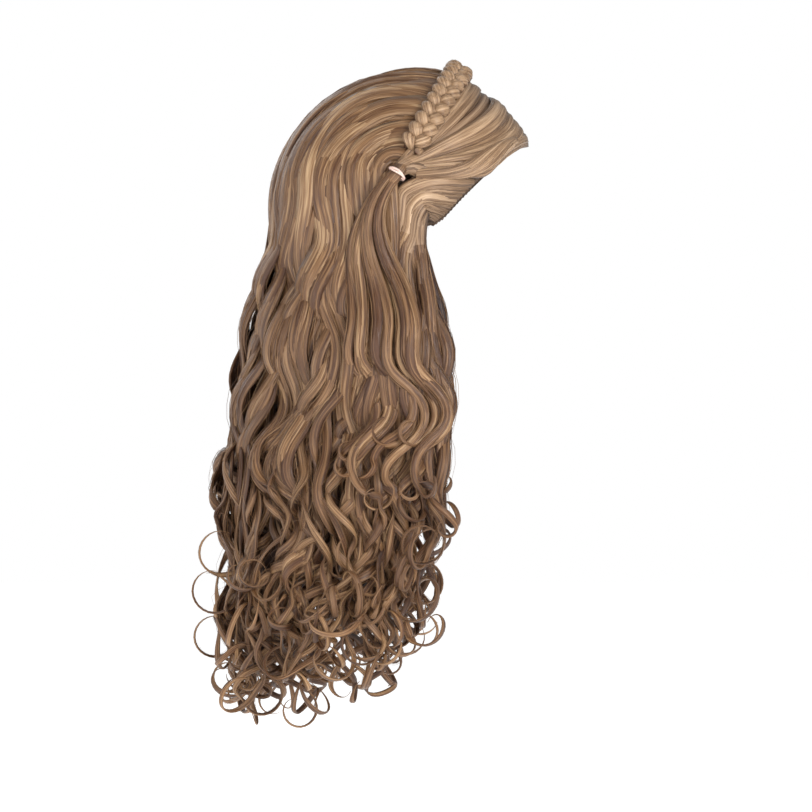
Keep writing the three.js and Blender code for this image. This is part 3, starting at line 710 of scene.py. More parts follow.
curls = dict(
    count=22, back=0.965, byFace=0.2, alternate=0.06, wide=0.0064, thick=0.0021, narrow=0.0025,
    thickMiddle=0.36, thickEnd=0.42, taperFrom=0.15, taperOver=0.7, tipFrom=0.9, tipTaper=0.85,
    step=0.0105, innerStep=1.1, bend=0.42, spacing=0.0255, crownLocks=5, middleLocks=4, innerLocks=3,
    middleDepth=0.15, middlePaintedShade=0.35, middleFull=0.97, innerDepth=-0.6, innerPaintedShade=0.6, innerFull=0.9,
    scatter=0.02, depthScatter=0.12, startWide=0.3, startOver=7, innerTip=1.3,
    faceAngle=1.15, faceDrift=0.22, faceSway=0.6, faceStart=0.3, faceReturn=0.6,
    reach=(0.8, 1.02), sinkOver=0.2, hookRadius=(0.009, 0.024), hookAim=(0.1, 1.2), hookInwards=0.35,
    hookTurn=(170, 400), hookNarrowing=(0.2, 0.5), hookDrift=0.16,
    strands={"Strands": 4, "Strand radius": 0.0003, "Spread": 0.28, "Frizz": 0.010, "Shortest": 0.72},
    flyaways={"Strands": 1, "Strand radius": 0.0002, "Spread": 1.4, "Frizz": 0.03, "Shortest": 0.5},
)
curlStep = pi / (curls["count"] - 1)
groups = dict(
    length=(0.078, 0.112), size=(0.0058, 0.0118), start=-0.038, lower=0.05 / 2.4,
    lag=(-0.9, 0.9), sway=(0.6, 1.1), drift=0.05, stray=0.6, sink=(-0.28, 0.1),
)
styles = dict(
    drift=0.025, lag=(-0.3, 0.3), stray=0.5, sway=(0.9, 1.2), depth=(0.8, 1.45), ringletFrom=(0.25, 0.6),
    ringlet=(0.003, 0.009), pitch=(0.055, 0.085), waveLag=0.3,
)
calmStyle = dict(drift=0, lag=0, stray=0, sway=0, depth=0, ringletFrom=2, ringlet=0, pitch=1, hand=1, spin=0)


def makeGroup(dice, angle):
    calm = curls["faceSway"] if abs(angle) > curls["faceAngle"] else 1.0
    wave = dict(
        length=dice.uniform(*groups["length"]), lag=dice.uniform(0, 2 * pi),
        size=dice.uniform(*groups["size"]) * calm, start=groups["start"] - groups["lower"] * abs(angle) ** 3,
    )
    return dict(
        lag=dice.uniform(*groups["lag"]), sway=dice.uniform(*groups["sway"]) * calm,
        drift=dice.normal(0, groups["drift"]) * calm, stray=dice.normal(0, groups["stray"]),
        sink=dice.uniform(*groups["sink"]), wave=wave,
    )


def lockStyle(dice, group, tip=1.0):
    return dict(
        drift=group["drift"] + dice.normal(0, styles["drift"]), lag=group["lag"] + dice.uniform(*styles["lag"]),
        stray=group["stray"] + dice.normal(0, styles["stray"]), sway=group["sway"] * dice.uniform(*styles["sway"]),
        depth=dice.uniform(*styles["depth"]), sink=group["sink"],
        ringletFrom=dice.uniform(*styles["ringletFrom"]), ringlet=dice.uniform(*styles["ringlet"]) * tip,
        pitch=dice.uniform(*styles["pitch"]), hand=dice.choice([-1, 1]), spin=dice.uniform(0, 2 * pi),
        wave=dict(group["wave"], lag=group["wave"]["lag"] + dice.normal(0, styles["waveLag"])),
    )


def curlAngle(index):
    return pi * (0.5 - index / (curls["count"] - 1))


curlPieces = [
    HairPiece(f"curlLock{i + 1:02d}", f"curl_lock_{i + 1:02d}", 200 + i) for i in range(curls["count"])
]


# Path of a hanging lock with its hooked end, from a share of the hair's length downwards
def curlPath(dice, angle, index, depth, style, firstShare=0.0):
    reach = dice.uniform(*curls["reach"])
    if abs(angle) > curls["faceAngle"]:
        style = dict(style, drift=style["drift"] - math.copysign(curls["faceDrift"], angle))
    towardsFace = abs(angle) / (pi / 2)
    lastShare = (curls["back"] - curls["byFace"] * towardsFace**3 - curls["alternate"] * (index % 2)) * reach
    shares = np.arange(firstShare, lastShare, curls["spacing"])
    sunk = depth + style["sink"] * ease(shares / curls["sinkOver"])
    path = waved(hang(angle, shares, sunk, style), style["wave"])
    radius = dice.uniform(*curls["hookRadius"])
    aim = dice.choice([-1, 1]) * dice.uniform(*curls["hookAim"])
    aim = aim + (pi if dice.random() < curls["hookInwards"] else 0)
    turn, narrowing = dice.uniform(*curls["hookTurn"]), dice.uniform(*curls["hookNarrowing"])
    return hooked(path, aim, radius, turn, narrowing, dice.normal(0, curls["hookDrift"]))


# Half width and half thickness of a hanging lock along its path
def curlTaper(t, full=1.0):
    body = curls["wide"] + (curls["narrow"] - curls["wide"]) * ease((t - curls["taperFrom"]) / curls["taperOver"])
    wide = body * (1 - curls["tipTaper"] * ease((t - curls["tipFrom"]) / (1 - curls["tipFrom"]))) * full
    shares = [curls["thick"] / curls["wide"], curls["thickMiddle"], curls["thickEnd"]]
    return wide, wide * np.interp(t, [0, 0.5, 1], shares)


# Crown: locks run back over the head from the braid and on into the curls

crown = dict(
    firstTurn=60, lastTurn=191, steepest=84, proud=-0.0022, ridgePeriod=15.27, ridgeDepth=0.0032, rows=15,
    widestAngle=76, scatter=0.015, lift=(-0.0014, 0.0012), sidestep=4.0, sidestepEnd=78, heave=0.0011,
    heaves=1.3, depth=0.82, depthPerLift=60, firstShare=0.045, wide=0.0082, thick=0.0024, widths=(0.6, 1.3),
    wideUntil=-0.2, wideOver=0.13, cutLow=(-0.012, 0.03), shelter=0.2,
    shellDepth=0.0052, shellWall=0.004, shellColumns=73, shellRows=34,
    strands={"Strands": 3, "Strand radius": 0.0003, "Spread": 0.1, "Frizz": 0.0035, "Shortest": 0.6},
)
crownPiece = HairPiece("crownHair", "crown_hair", 11)
tiltTable = np.linspace(-crown["steepest"], crown["steepest"], 85)
tablePoints = onHair(float(crown["lastTurn"]), tiltTable)
angleTable = np.arctan2(-tablePoints[:, 0] / ring["side"], tablePoints[:, 1] / ring["back"])


def tiltFor(angle):
    return float(np.interp(angle, angleTable[::-1], tiltTable[::-1]))


def crownRun(tilt, proud, sidestep=0.0, heave=0.0, heavePhase=0.0):
    steepest = crown["steepest"]
    turns = np.linspace(crown["firstTurn"], crown["lastTurn"], crown["rows"])
    t = (turns - turns[0]) / (turns[-1] - turns[0])
    sidestep = sidestep * np.sin(pi * t) ** 2 * max(0, 1 - (tilt / crown["sidestepEnd"]) ** 2)
    tilts = np.clip(tilt + sidestep, -steepest, steepest)
    proud = proud + heave * np.sin(2 * pi * (crown["heaves"] * t + heavePhase))
    relief = -crown["ridgeDepth"] * (0.5 + 0.5 * np.cos(2 * pi * (tilts + steepest) / crown["ridgePeriod"]))
    return faced(onHair(turns, tilts, proud + relief * (1 - ease(1.6 * t - 0.6))))


def makeCrownLocks():
    dice = crownPiece.dice
    for index, piece in enumerate(curlPieces):
        angle = curlAngle(index)
        if abs(angle) > np.radians(crown["widestAngle"]):
            continue
        group = makeGroup(dice, angle)
        for k in range(curls["crownLocks"]):
            own = angle + curlStep * ((k + 0.5) / curls["crownLocks"] - 0.5) + dice.normal(0, crown["scatter"])
            style = lockStyle(dice, group)
            lift = dice.uniform(*crown["lift"])
            sidestep = dice.normal(0, crown["sidestep"])
            over = crownRun(tiltFor(own), crown["proud"] + lift, sidestep, crown["heave"], dice.random())
            depth = crown["depth"] + lift * crown["depthPerLift"]
            below = curlPath(dice, own, index, depth, style, crown["firstShare"])
            path = np.vstack([waved(over, style["wave"]), below])
            path = relaxed(smoothPath(path, curls["step"], curls["bend"]), 2)
            wide, thick = curlTaper(np.linspace(0, 1, len(path)))
            onCrown = ease((path[:, 2] - crown["wideUntil"]) / crown["wideOver"])
            wide = wide + (crown["wide"] * dice.uniform(*crown["widths"]) - wide) * onCrown
            thick = thick + (crown["thick"] - thick) * onCrown
            cut = int(np.argmax(path[:, 2] < -crownDrop - dice.uniform(*crown["cutLow"])))
            # Each crown lock gets a random amount of painted shade
            shelter = crown["shelter"] * dice.random()
            crownPiece.addLock(path, wide, thick, None, shelter, sides=10, onward=(cut, piece))


def makeCrownShell():
    paths = []
    for angle in np.linspace(angleTable[0], angleTable[-1], crown["shellColumns"]):
        over = crownRun(tiltFor(angle), -crown["shellDepth"])
        below = hang(angle, [0.02, 0.05, 0.08], 1 - crown["shellDepth"] / lockDepth(angle), calmStyle)
        paths.append(relaxed(smoothPath(np.vstack([over, below]), 0.002), 12))
    # The shell under the crown locks is darkened with painted shade, as it lies in their shadow
    crownPiece.addShell(paths, crown["shellRows"], crown["shellWall"], 0.35, 0.75)


makeCrownShell()
makeCrownLocks()
print("crown locks laid")


# Hanging locks that start under the crown, and those that the temple hair feeds

def makeInnerLocks():
    for index, piece in enumerate(curlPieces):
        dice, angle = piece.dice, curlAngle(index)
        for layer in ("middle", "inner"):
            count, depth, shelter, full = [curls[layer + part] for part in ("Locks", "Depth", "PaintedShade", "Full")]
            group = makeGroup(dice, angle)
            for k in range(count):
                own = angle + curlStep * ((k + 0.5) / count - 0.5) + dice.normal(0, curls["scatter"])
                style = lockStyle(dice, group, curls["innerTip"])
                if abs(angle) > curls["faceAngle"]:
                    own -= math.copysign(curls["faceStart"], angle)
                    style["drift"] += math.copysign(curls["faceReturn"] * curls["faceStart"], angle)
                path = curlPath(dice, own, index, depth + dice.normal(0, curls["depthScatter"]), style)
                path = smoothPath(path, curls["step"] * curls["innerStep"], curls["bend"])
                t = np.linspace(0, 1, len(path))
                wide, thick = curlTaper(t, full)
                start = curls["startWide"] + (1 - curls["startWide"]) * ease(t * curls["startOver"])
                # Painted shade: the middle and inner layers are darkened as if in the outer locks' shadow, less
                # towards their tips
                shade = shelter * (1 - 0.5 * t)
                piece.addLock(
                    path, wide * start, thick * start, None, shade, sides=7, guide=depth > 0, along=(0.25, 1))


makeInnerLocks()


# Front hair: from the parting and the forehead back to the elastic, on each side

tie = dict(x=0.093, radius=0.006, wire=0.0009, turns=2.6, fall=50, splay=10, clear=0.0006, wobble=0.0006)
frontStrands = {"Strands": 4, "Strand radius": 0.00028, "Spread": 0.12, "Frizz": 0.002, "Shortest": 0.8}
front = dict(
    parting=0.3, lastTilt=76, lowTurn=-4, highTurn=57, lanes=30, bow=13, proud=-0.0024, ridgeFrom=-96,
    ridgeDepth=0.0032, ridgeHalf=9.06, raisedFrom=50, raised=0.0016, wedgeFrom=42, wedge=0.0022, wedgePaintedShade=0.45,
    lift=(-0.0012, 0.0012), shelter=0.12, scatter=0.5, wander=1.2, edgeClear=0.5, edgeSpacing=0.12,
    fanMiddle=25, fanHalf=30, fan=0.0038, fanScatter=(-0.003, 0.003), fromTie=0.009, pastTie=0.003,
    wide=0.0052, widths=(0.8, 1.15), thick=0.0025, step=0.0058, rootLength=0.032,
    shellDepth=0.0046, shellWall=0.0036, shellPast=3, shellColumns=44, shellRows=22,
)


# Elastic's middle on a side, the way that the tied hair runs through it, and the way up across it
def tiePlace(side):
    along = direction(180 + tie["fall"], -tie["splay"]) * [-side, 1, 1]
    return np.array([side * tie["x"], tieAxis[1], tieAxis[2]]), along, unit(np.cross(along, [side, 0, 0]))


# Lowest turn that stays on the cap at a tilt
edgeTilts = np.linspace(0, 80, 41)
edgeTurns = np.linspace(-40, 40, 161)
edgePoints = onHair(*np.meshgrid(edgeTurns, -edgeTilts))
edgeShown = edgePoints[..., 2] > hairlineLevel(edgePoints[..., 1])
edgeTurn = edgeTurns[np.argmax(edgeShown, axis=1)]


# A lane is worked out on the right side, and mirrored to the left
def frontRun(turn, side, proud, wander=0.0):
    tilts = np.linspace(front["parting"], front["lastTilt"], 121)
    bow = front["bow"] * (1.1 - max(turn, 0) ** 2 / front["highTurn"] ** 2)
    bowed = turn - bow * np.sin(np.radians(2 * tilts)) + wander * np.sin(np.radians(2.2 * tilts))
    lowest = np.interp(tilts, edgeTilts, edgeTurn) + front["edgeClear"]
    first = int(np.argmax(bowed > lowest)) if turn < edgeTurn[0] else 0
    bowed = np.maximum(bowed, lowest + front["edgeSpacing"] * max(turn - edgeTurn[0], 0))
    relief = -front["ridgeDepth"] * (0.5 + 0.5 * np.cos(pi * (turn - front["ridgeFrom"]) / front["ridgeHalf"]))
    run = faced(onHair(bowed, -tilts, proud + relief * ease(tilts / 30))[first:])
    share, length = (0.92, 0.03) if first else (0.3, 0.02)
    return rooted(run * ([-side, 1, 1] * 2), length, share)


def makeFront(side, piece):
    dice = piece.dice
    place, along, frameUp = tiePlace(side)
    for turn in np.linspace(front["lowTurn"], front["highTurn"], front["lanes"]):
        lift = dice.uniform(*front["lift"])
        # Lanes sunk into the wedge are given more painted shade, the others a random amount
        shelter = front["shelter"] * dice.random()
        if turn > front["raisedFrom"]:
            lift = front["raised"] + 0.5 * lift
        elif turn > front["wedgeFrom"]:
            lift, shelter = lift - front["wedge"], front["wedgePaintedShade"]
        scatter, wander = dice.normal(0, front["scatter"]), dice.normal(0, front["wander"])
        run = frontRun(turn + scatter, side, front["proud"] + lift, wander)
        spot = (turn - front["fanMiddle"]) / front["fanHalf"]
        inTie = place + frameUp * front["fan"] * spot
        inTie = inTie + np.array([side, 0, 0]) * dice.uniform(*front["fanScatter"])
        last = np.array([inTie - along * front["fromTie"], inTie + along * front["pastTie"]])
        facing = np.tile(unit(np.array([[side, 0, 0]]) + 0.5 * frameUp * spot), (2, 1))
        path = relaxed(smoothPath(np.vstack([run[::8], np.hstack([last, facing])]), front["step"]), 2)
        t = np.linspace(0, 1, len(path))
        wide = front["wide"] * dice.uniform(*front["widths"])
        wide = wide * np.interp(t, [0, 0.08, 0.5, 0.85, 1], [0.5, 0.9, 1, 0.6, 0.3])
        thick = front["thick"] * np.interp(t, [0, 0.1, 0.8, 1], [0.4, 1, 0.95, 0.6])
        fromRoot = np.linalg.norm(path[:, :3] - path[0, :3], axis=1)
        root = np.exp(-(fromRoot / front["rootLength"]) ** 1.5)
        piece.addLock(path, wide, thick, None, shelter, root, sides=10, along=(0, 0.25))
    turns = np.linspace(front["lowTurn"], front["highTurn"] + front["shellPast"], front["shellColumns"])
    paths = [smoothPath(frontRun(turn, side, -front["shellDepth"]), 0.002) for turn in turns]
    root = np.exp(-np.linspace(0, 5, front["shellRows"]))
    # The shell under the front lanes is darkened with painted shade, as it lies in their shadow
    piece.addShell(paths, front["shellRows"], front["shellWall"], 0.3, 0.6, root)


# Roll along the hairline: a twisted bundle of locks

roll = dict(
    tilt=[8, 33, 44, 54, 62, 72, 80], turn=[17, 14, 9, 3.5, 1, 0, 0],
    wide=[0.12, 0.7, 1.0, 0.85, 0.65, 0.5, 0.45], thick=[0.1, 0.75, 1.0, 0.95, 0.8, 0.7, 0.6],
    halfWide=0.0085, halfThick=0.0052, core=0.8, offWide=0.68, offThick=0.62, step=0.0045, rootFade=0.18,
    locks=11, twist=0.9, lockWide=0.0038, lockThick=0.0024, widths=(0.85, 1.15), least=0.25,
)


def makeRoll(side, piece):
    dice, mirror = piece.dice, [-side, 1, 1]
    p = onHair(np.array(roll["turn"], float), -np.array(roll["tilt"], float), 0.0)
    points = np.column_stack([p * mirror, outwardOf(p) * mirror, roll["wide"], roll["thick"]])
    line = rooted(smoothPath(points, roll["step"]), 0.03, 0.5)
    spots, facing, wides, thicks = line[:, :3], line[:, 3:6], line[:, 6], line[:, 7]
    ahead = unit(np.gradient(spots, axis=0))
    out = unit(facing - ahead * (facing * ahead).sum(1, keepdims=True))
    across = np.cross(ahead, out)
    t = np.linspace(0, 1, len(line))
    root = np.exp(-t / roll["rootFade"])
    wide, thick = roll["halfWide"] * roll["core"] * wides, roll["halfThick"] * roll["core"] * thicks
    # The core under the roll's locks is darkened with painted shade
    piece.addLock(
        np.hstack([spots, out]), wide, thick, 0.3, 0.5, root, sides=12, guide=False, along=(0, 0.25))
    for k in range(roll["locks"]):
        a = 2 * pi * (k / roll["locks"] + roll["twist"] * side * t * 0.5) + dice.normal(0, 0.1)
        radial = out * np.cos(a)[:, None] + across * np.sin(a)[:, None]
        shift = out * (roll["halfThick"] * roll["offThick"] * thicks * np.cos(a))[:, None]
        shift = shift + across * (roll["halfWide"] * roll["offWide"] * wides * np.sin(a))[:, None]
        wide = roll["lockWide"] * (roll["least"] + (1 - roll["least"]) * wides) * dice.uniform(*roll["widths"])
        thick = roll["lockThick"] * (roll["least"] + (1 - roll["least"]) * thicks)
        piece.addLock(np.hstack([spots + shift, radial]), wide, thick, None, 0.0, root, along=(0, 0.25))


# Temple hair: back from the hairline below the roll, then down by the ear into the first curls

temple = dict(
    lanes=14, highY=-0.050, lowY=-0.013, proud=-0.0024, lift=(-0.001, 0.001), bendY=(0.015, -0.002),
    bendZ=(-0.080, -0.106), edge=(0.001, -0.003), fan=0.26, scatter=0.02, drift=0.03, depth=(0.55, 0.3),
    firstShare=0.06, step=0.008, rootLength=0.03, rootShade=(0.6, 0.015), shelter=0.3, cutLow=(-0.008, 0.02),
    shellLanes=22, shellRows=16, shellDepth=0.0046, shellWall=0.0034,
)


def templeRun(k, side, proud):
    y0, bendY, bendZ, edge = [
        first + (last - first) * k
        for first, last in ((temple["highY"], temple["lowY"]), temple["bendY"], temple["bendZ"], temple["edge"])
    ]
    z0 = float(hairlineLevel(y0)) + edge
    ys = [y0 - 0.0015, y0 + (bendY - y0) * 0.35, y0 + (bendY - y0) * 0.72, bendY, bendY + 0.0015]
    zs = [z0, z0 + (bendZ - z0) * 0.45 + 0.003, bendZ + 0.0035, bendZ - 0.006, bendZ - 0.022]
    return faced(onHairSide(ys, zs, side, proud))


def makeTemple(side, piece):
    dice = piece.dice
    for k in range(temple["lanes"]):
        share = (k + 0.5) / temple["lanes"]
        run = templeRun(share, side, temple["proud"] + dice.uniform(*temple["lift"]))
        angle = -side * (pi / 2 - temple["fan"] * (1 - share) + temple["scatter"] * dice.normal())
        index = int(np.clip(round((0.5 - angle / pi) * (curls["count"] - 1)), 0, curls["count"] - 1))
        style = dict(lockStyle(dice, makeGroup(dice, angle)), drift=side * temple["drift"] * dice.normal())
        depth = temple["depth"][0] + temple["depth"][1] * dice.random()
        below = curlPath(dice, angle, index, depth, style, temple["firstShare"])
        path = smoothPath(np.vstack([run, below]), temple["step"], curls["bend"])
        path = relaxed(rooted(path, temple["rootLength"]), 2)
        wide, thick = curlTaper(np.linspace(0, 1, len(path)))
        fromRoot = np.linalg.norm(path[:, :3] - path[0, :3], axis=1)
        wide = wide * np.interp(fromRoot, [0, 0.012, 0.05], [0.45, 0.85, 1])
        thick = thick * np.interp(fromRoot, [0, 0.015], [0.4, 1])
        cut = max(6, int(np.argmax(path[:, 2] < -crownDrop - dice.uniform(*temple["cutLow"]))))
        root = temple["rootShade"][0] * np.exp(-fromRoot / temple["rootShade"][1])
        # Each temple lock gets a random amount of painted shade
        shelter = temple["shelter"] * dice.random()
        piece.addLock(path, wide, thick, None, shelter, root, onward=(cut, curlPieces[index]))
    runs = [templeRun(share, side, -temple["shellDepth"]) for share in np.linspace(0, 1, temple["shellLanes"])]
    paths = [rooted(smoothPath(run, 0.002), temple["rootLength"], 0.8) for run in runs]
    # The shell under the temple locks is darkened with painted shade, as it lies in their shadow
    piece.addShell(paths, temple["shellRows"], temple["shellWall"], 0.3, 0.7)


# Tied hair: leaves the elastic backwards and falls over the curls

tail = dict(
    locks=12, length=0.235, wide=0.0046, thick=0.0020, spread=0.0036, lift=0.0035, reach=(0.75, 1.1),
    first=np.array([0.003, 0.016, -0.010]), second=np.array([0.004, 0.022, -0.027]), middle=71, fan=10,
    fanStart=0.6, scatter=1.5, sway=1.1, ringletFrom=0.35, ringlet=0.004, firstShare=0.09, spacing=0.02,
    outerShare=0.62, innerShare=0.15, step=0.009, looseFrom=-0.17, looseOver=0.06, calming=14,
    hookAim=(0.2, 1.0), hookRadius=(0.008, 0.014), hookTurn=(160, 280), hookNarrowing=0.3, hookDrift=0.15,
    knot=[0.55, 0.9, 1.0, 0.96, 0.96, 1.0, 0.9, 0.55], knotFrom=-0.009, knotTo=0.011,
    strands={"Strands": 4, "Strand radius": 0.0003, "Spread": 0.2, "Frizz": 0.006, "Shortest": 0.7},
)


def makeTail(side, piece):
    dice = piece.dice
    place, along, frameUp = tiePlace(side)
    outSide = np.array([side, 0, 0])
    group = dict(makeGroup(dice, 1.0), sway=tail["sway"], drift=0.0)
    knot = place + along * np.linspace(tail["knotFrom"], tail["knotTo"], len(tail["knot"]))[:, None]
    full = tie["radius"] * np.array(tail["knot"])
    knot = np.hstack([knot, np.tile(outSide, (len(knot), 1))])
    # The knot inside the elastic is darkened with painted shade
    piece.addLock(knot, full, full, 0.5, 0.4, sides=12, guide=False)
    for k in range(tail["locks"]):
        around = 2 * pi * k / tail["locks"]
        near = tie["radius"] * (tail["outerShare"] if k % 3 else tail["innerShare"])
        shift = outSide * math.cos(around) * near + frameUp * math.sin(around) * near
        degrees = tail["middle"] + tail["fan"] * math.cos(around + tail["fanStart"])
        angle = -side * math.radians(degrees + dice.normal(0, tail["scatter"]))
        style = dict(lockStyle(dice, group), ringletFrom=tail["ringletFrom"], ringlet=tail["ringlet"])
        lift = tail["spread"] * (1 + math.cos(around)) + tail["lift"]
        reach = (tail["length"] * dice.uniform(*tail["reach"])) / hanging["length"]
        shares = np.arange(tail["firstShare"], reach, tail["spacing"])
        below = waved(hang(angle, shares, 1.0, style), style["wave"])
        below[:, :3] += outwardAt(angle * curtainAt("turn", shares)) * lift
        throat = np.array([
            place - along * 0.004 + shift * 0.8, place + along * 0.004 + shift * 0.8,
            place + tail["first"] * [side, 1, 1] + shift * 1.3, place + tail["second"] * [side, 1, 1] + shift * 1.6,
        ])
        facing = np.tile(unit(outSide + 0.8 * shift / 0.004 * 0.3), (len(throat), 1))
        path = smoothPath(np.vstack([np.hstack([throat, facing]), below]), tail["step"])
        kept = ease((tail["looseFrom"] - path[:, 2]) / tail["looseOver"])[:, None]
        path = relaxed(path, tail["calming"]) * (1 - kept) + path * kept
        aim = dice.choice([-1, 1]) * dice.uniform(*tail["hookAim"])
        radius, turn = dice.uniform(*tail["hookRadius"]), dice.uniform(*tail["hookTurn"])
        path = hooked(path, aim, radius, turn, tail["hookNarrowing"], dice.normal(0, tail["hookDrift"]))
        path = smoothPath(path, tail["step"], curls["bend"])
        t = np.linspace(0, 1, len(path))
        wide = tail["wide"] * np.interp(t, [0, 0.06, 0.2, 0.7, 0.9, 1], [0.5, 0.6, 1, 0.75, 0.5, 0.12])
        thick = tail["thick"] * np.interp(t, [0, 0.06, 0.2, 0.9, 1], [0.9, 0.9, 1, 0.7, 0.2])
        # Each tail lock gets a small random amount of painted shade
        piece.addLock(path, wide, thick, None, 0.1 * dice.random(), sides=9, along=(0.25, 0.8))


# Elastic: a thin band wound round the tied hair

def makeTie(side, piece):
    place, along, u = tiePlace(side)
    v = np.cross(along, u)
    turned = np.linspace(0, 2 * pi * tie["turns"], 104)
    wobble = tie["wobble"] * np.sin(2.3 * turned)
    step = tie["wire"] * 1.25 * (turned / (2 * pi) - tie["turns"] / 2) + wobble
    radial = u * np.cos(turned)[:, None] + v * np.sin(turned)[:, None]
    tuck = np.interp(turned, [0, 0.7, turned[-1] - 0.7, turned[-1]], [0.6, 1, 1, 0.6])
    reach = (tie["radius"] + tie["clear"] + tie["wire"]) * tuck
    path = np.hstack([place + radial * reach[:, None] + along * step[:, None], radial])
    piece.addLock(path, tie["wire"], tie["wire"] * 0.8, 0.5, sides=10, flute=0.0, guide=False, along=(0, 0))


pairs = (
    ("frontSweep", "front_sweep_", 31, makeFront, frontFinish, "front_hair", frontStrands),
    ("hairlineRoll", "hairline_roll_", 41, makeRoll, frontFinish, "front_hair", frontStrands),
    ("templeHair", "temple_hair_", 51, makeTemple, frontFinish, "front_hair", dict(frontStrands, Strands=3)),
    ("tiedTail", "tied_tail_", 61, makeTail, curlFinish, "curled_hair", tail["strands"]),
)
sides = ((-1, "Right", "right"), (1, "Left", "left"))
pairedPieces = []
for offset, (side, word, node) in enumerate(sides):
    for name, nodeName, seed, make, finish, slot, strands in pairs:
        piece = HairPiece(name + word, nodeName + node, seed + offset)
        make(side, piece)
        pairedPieces.append((piece, finish, slot, strands))
print("front, roll, temple and tied hair laid")


# Braid: three strands that take turns to pass over the middle

braid = dict(
    turn=59, pitch=0.033, sway=0.0064, lift=0.0036, proud=0.0020, end=0.024, wide=0.0058, thick=0.0046, pinch=0.5,
    swell=0.62, swellLag=0.5, shelter=0.8, perWeave=26, sides=18,
    strands={"Strands": 46, "Strand radius": 0.00026, "Spread": 0.06, "Frizz": 0.0012, "Shortest": 0.8},
)


def makeBraidStrand(index):
    piece = HairPiece(f"braidStrand{index + 1}", f"braid_strand_{index + 1}", 81 + index)
    lastTilt = math.degrees(math.atan2(hairForm["side"], braid["end"]))
    line = onHair(float(braid["turn"]), np.linspace(-lastTilt, lastTilt, 33), braid["proud"])
    line = smoothPath(line, 0.0005)
    length = np.linalg.norm(np.diff(line, axis=0), axis=1).sum()
    weaves = length / braid["pitch"]
    line = smoothPath(line, length / round(weaves * braid["perWeave"]))
    t = np.linspace(0, 1, len(line))
    across = -direction(braid["turn"] - 90.0, 0.0)
    out = unit(np.cross(across, np.gradient(line, axis=0)))
    out = out * np.sign((out * outwardOf(line)).sum(1, keepdims=True))
    phase = 2 * pi * (weaves * t + index / 3)
    path = line + across * (braid["sway"] * np.sin(phase))[:, None]
    path = path + out * (braid["lift"] * np.sin(2 * phase))[:, None]
    swell = ease(0.5 + braid["swell"] * np.sin(2 * phase - braid["swellLag"]))
    fullness = braid["pinch"] + (1 - braid["pinch"]) * swell
    fade = np.interp(t, [0, 0.03, 0.97, 1], [0.5, 1, 1, 0.5])
    wide, thick = braid["wide"] * fullness * fade, braid["thick"] * fullness * fade
    # Painted shade where each strand passes under the other two
    shelter = braid["shelter"] * ease(0.45 - 0.7 * np.sin(2 * phase))
    path = np.hstack([path, out])
    piece.addLock(path, wide, thick, 0.5, shelter, sides=braid["sides"], flute=0.06, along=(0, 0.2))
    piece.finish(braidFinish, "braided_hair", braid["strands"])


for index in range(3):
    makeBraidStrand(index)
print("braid woven")


# Nape: shorter locks that hang from the cap's edge inside the curls

nape = dict(
    count=7, spread=42, length=0.250, lengths=(0.7, 1.0), shorter=0.85, flare=0.010, waves=2.4, lag=(-0.5, 0.5),
    hair=0.0048, flat=0.6, clear=0.0008, locks=6, rows=34, step=0.011, wide=0.0034, thick=0.6,
    hookRadius=(0.005, 0.009), hookTurn=(180, 300), hookNarrowing=0.3, hookDrift=0.1, shelter=0.55,
    strands={"Strands": 3, "Strand radius": 0.0003, "Spread": 0.2, "Frizz": 0.006, "Shortest": 0.7},
)


def makeNapeLock(index):
    piece = HairPiece(f"napeLock{index + 1}", f"nape_lock_{index + 1}", 91 + index)
    dice = piece.dice
    angle = math.radians(nape["spread"]) * (1 - 2 * index / (nape["count"] - 1))
    edge = head["napeEdge"] * head["top"]
    level = math.sqrt(1 - ((edge - head["top"]) / head["below"]) ** 2)
    outward = np.array([-math.sin(angle), math.cos(angle), 0])
    across = np.array([math.cos(angle), math.sin(angle), 0])
    reach = np.array([head["side"] + nape["clear"], head["back"] + nape["clear"], 0]) * level
    start = reach * outward - [0, 0, edge]
    t = np.linspace(0, 1, nape["rows"])
    grown = 0.5 * np.minimum(1, 3 * t)
    spot = nape["hair"] * (0.75 + 0.5 * t)
    for k in range(nape["locks"]):
        length = nape["length"] * (nape["shorter"] if index % 2 else 1) * dice.uniform(*nape["lengths"])
        phase = 2 * pi * nape["waves"] * t + waveLag(angle) + dice.uniform(*nape["lag"])
        a = 2 * pi * k / nape["locks"]
        aside = hanging["sway"] * grown * np.sin(phase) + spot * math.cos(a)
        outBy = hanging["depth"] * grown * (1 - np.cos(phase)) + nape["flare"] * t + nape["flat"] * spot * math.sin(a)
        p = start - np.array([0, 0, 1]) * (length * t)[:, None] + across * aside[:, None] + outward * outBy[:, None]
        path = np.hstack([p, np.tile(outward, (len(t), 1))])
        aim, radius = dice.uniform(0, 2 * pi), dice.uniform(*nape["hookRadius"])
        path = hooked(path, aim, radius, dice.uniform(*nape["hookTurn"]), nape["hookNarrowing"], nape["hookDrift"])
        path = smoothPath(path, nape["step"], curls["bend"])
        s = np.linspace(0, 1, len(path))
        wide = nape["wide"] * np.interp(s, [0, 0.1, 0.7, 1], [0.6, 1, 0.7, 0.15])
        # Painted shade on the nape locks, which hang inside the curls, less towards their tips
        shade = nape["shelter"] * (1 - 0.5 * s)
        piece.addLock(path, wide, wide * nape["thick"], None, shade, sides=7, along=(0.3, 1))
    piece.finish(curlFinish, "curled_hair", nape["strands"])


for index in range(nape["count"]):
    makeNapeLock(index)
print("nape locks hung")


# The crown, paired and hanging pieces feed one another, so they are finished last
crownPiece.finish(crownFinish, "crown_hair", crown["strands"])
for piece, finish, slot, strands in pairedPieces:
    piece.finish(finish, slot, strands)
for piece in curlPieces:
    piece.finish(curlFinish, "curled_hair", curls["strands"], curls["flyaways"])
print("hair pieces grown")


# Elastics and cap

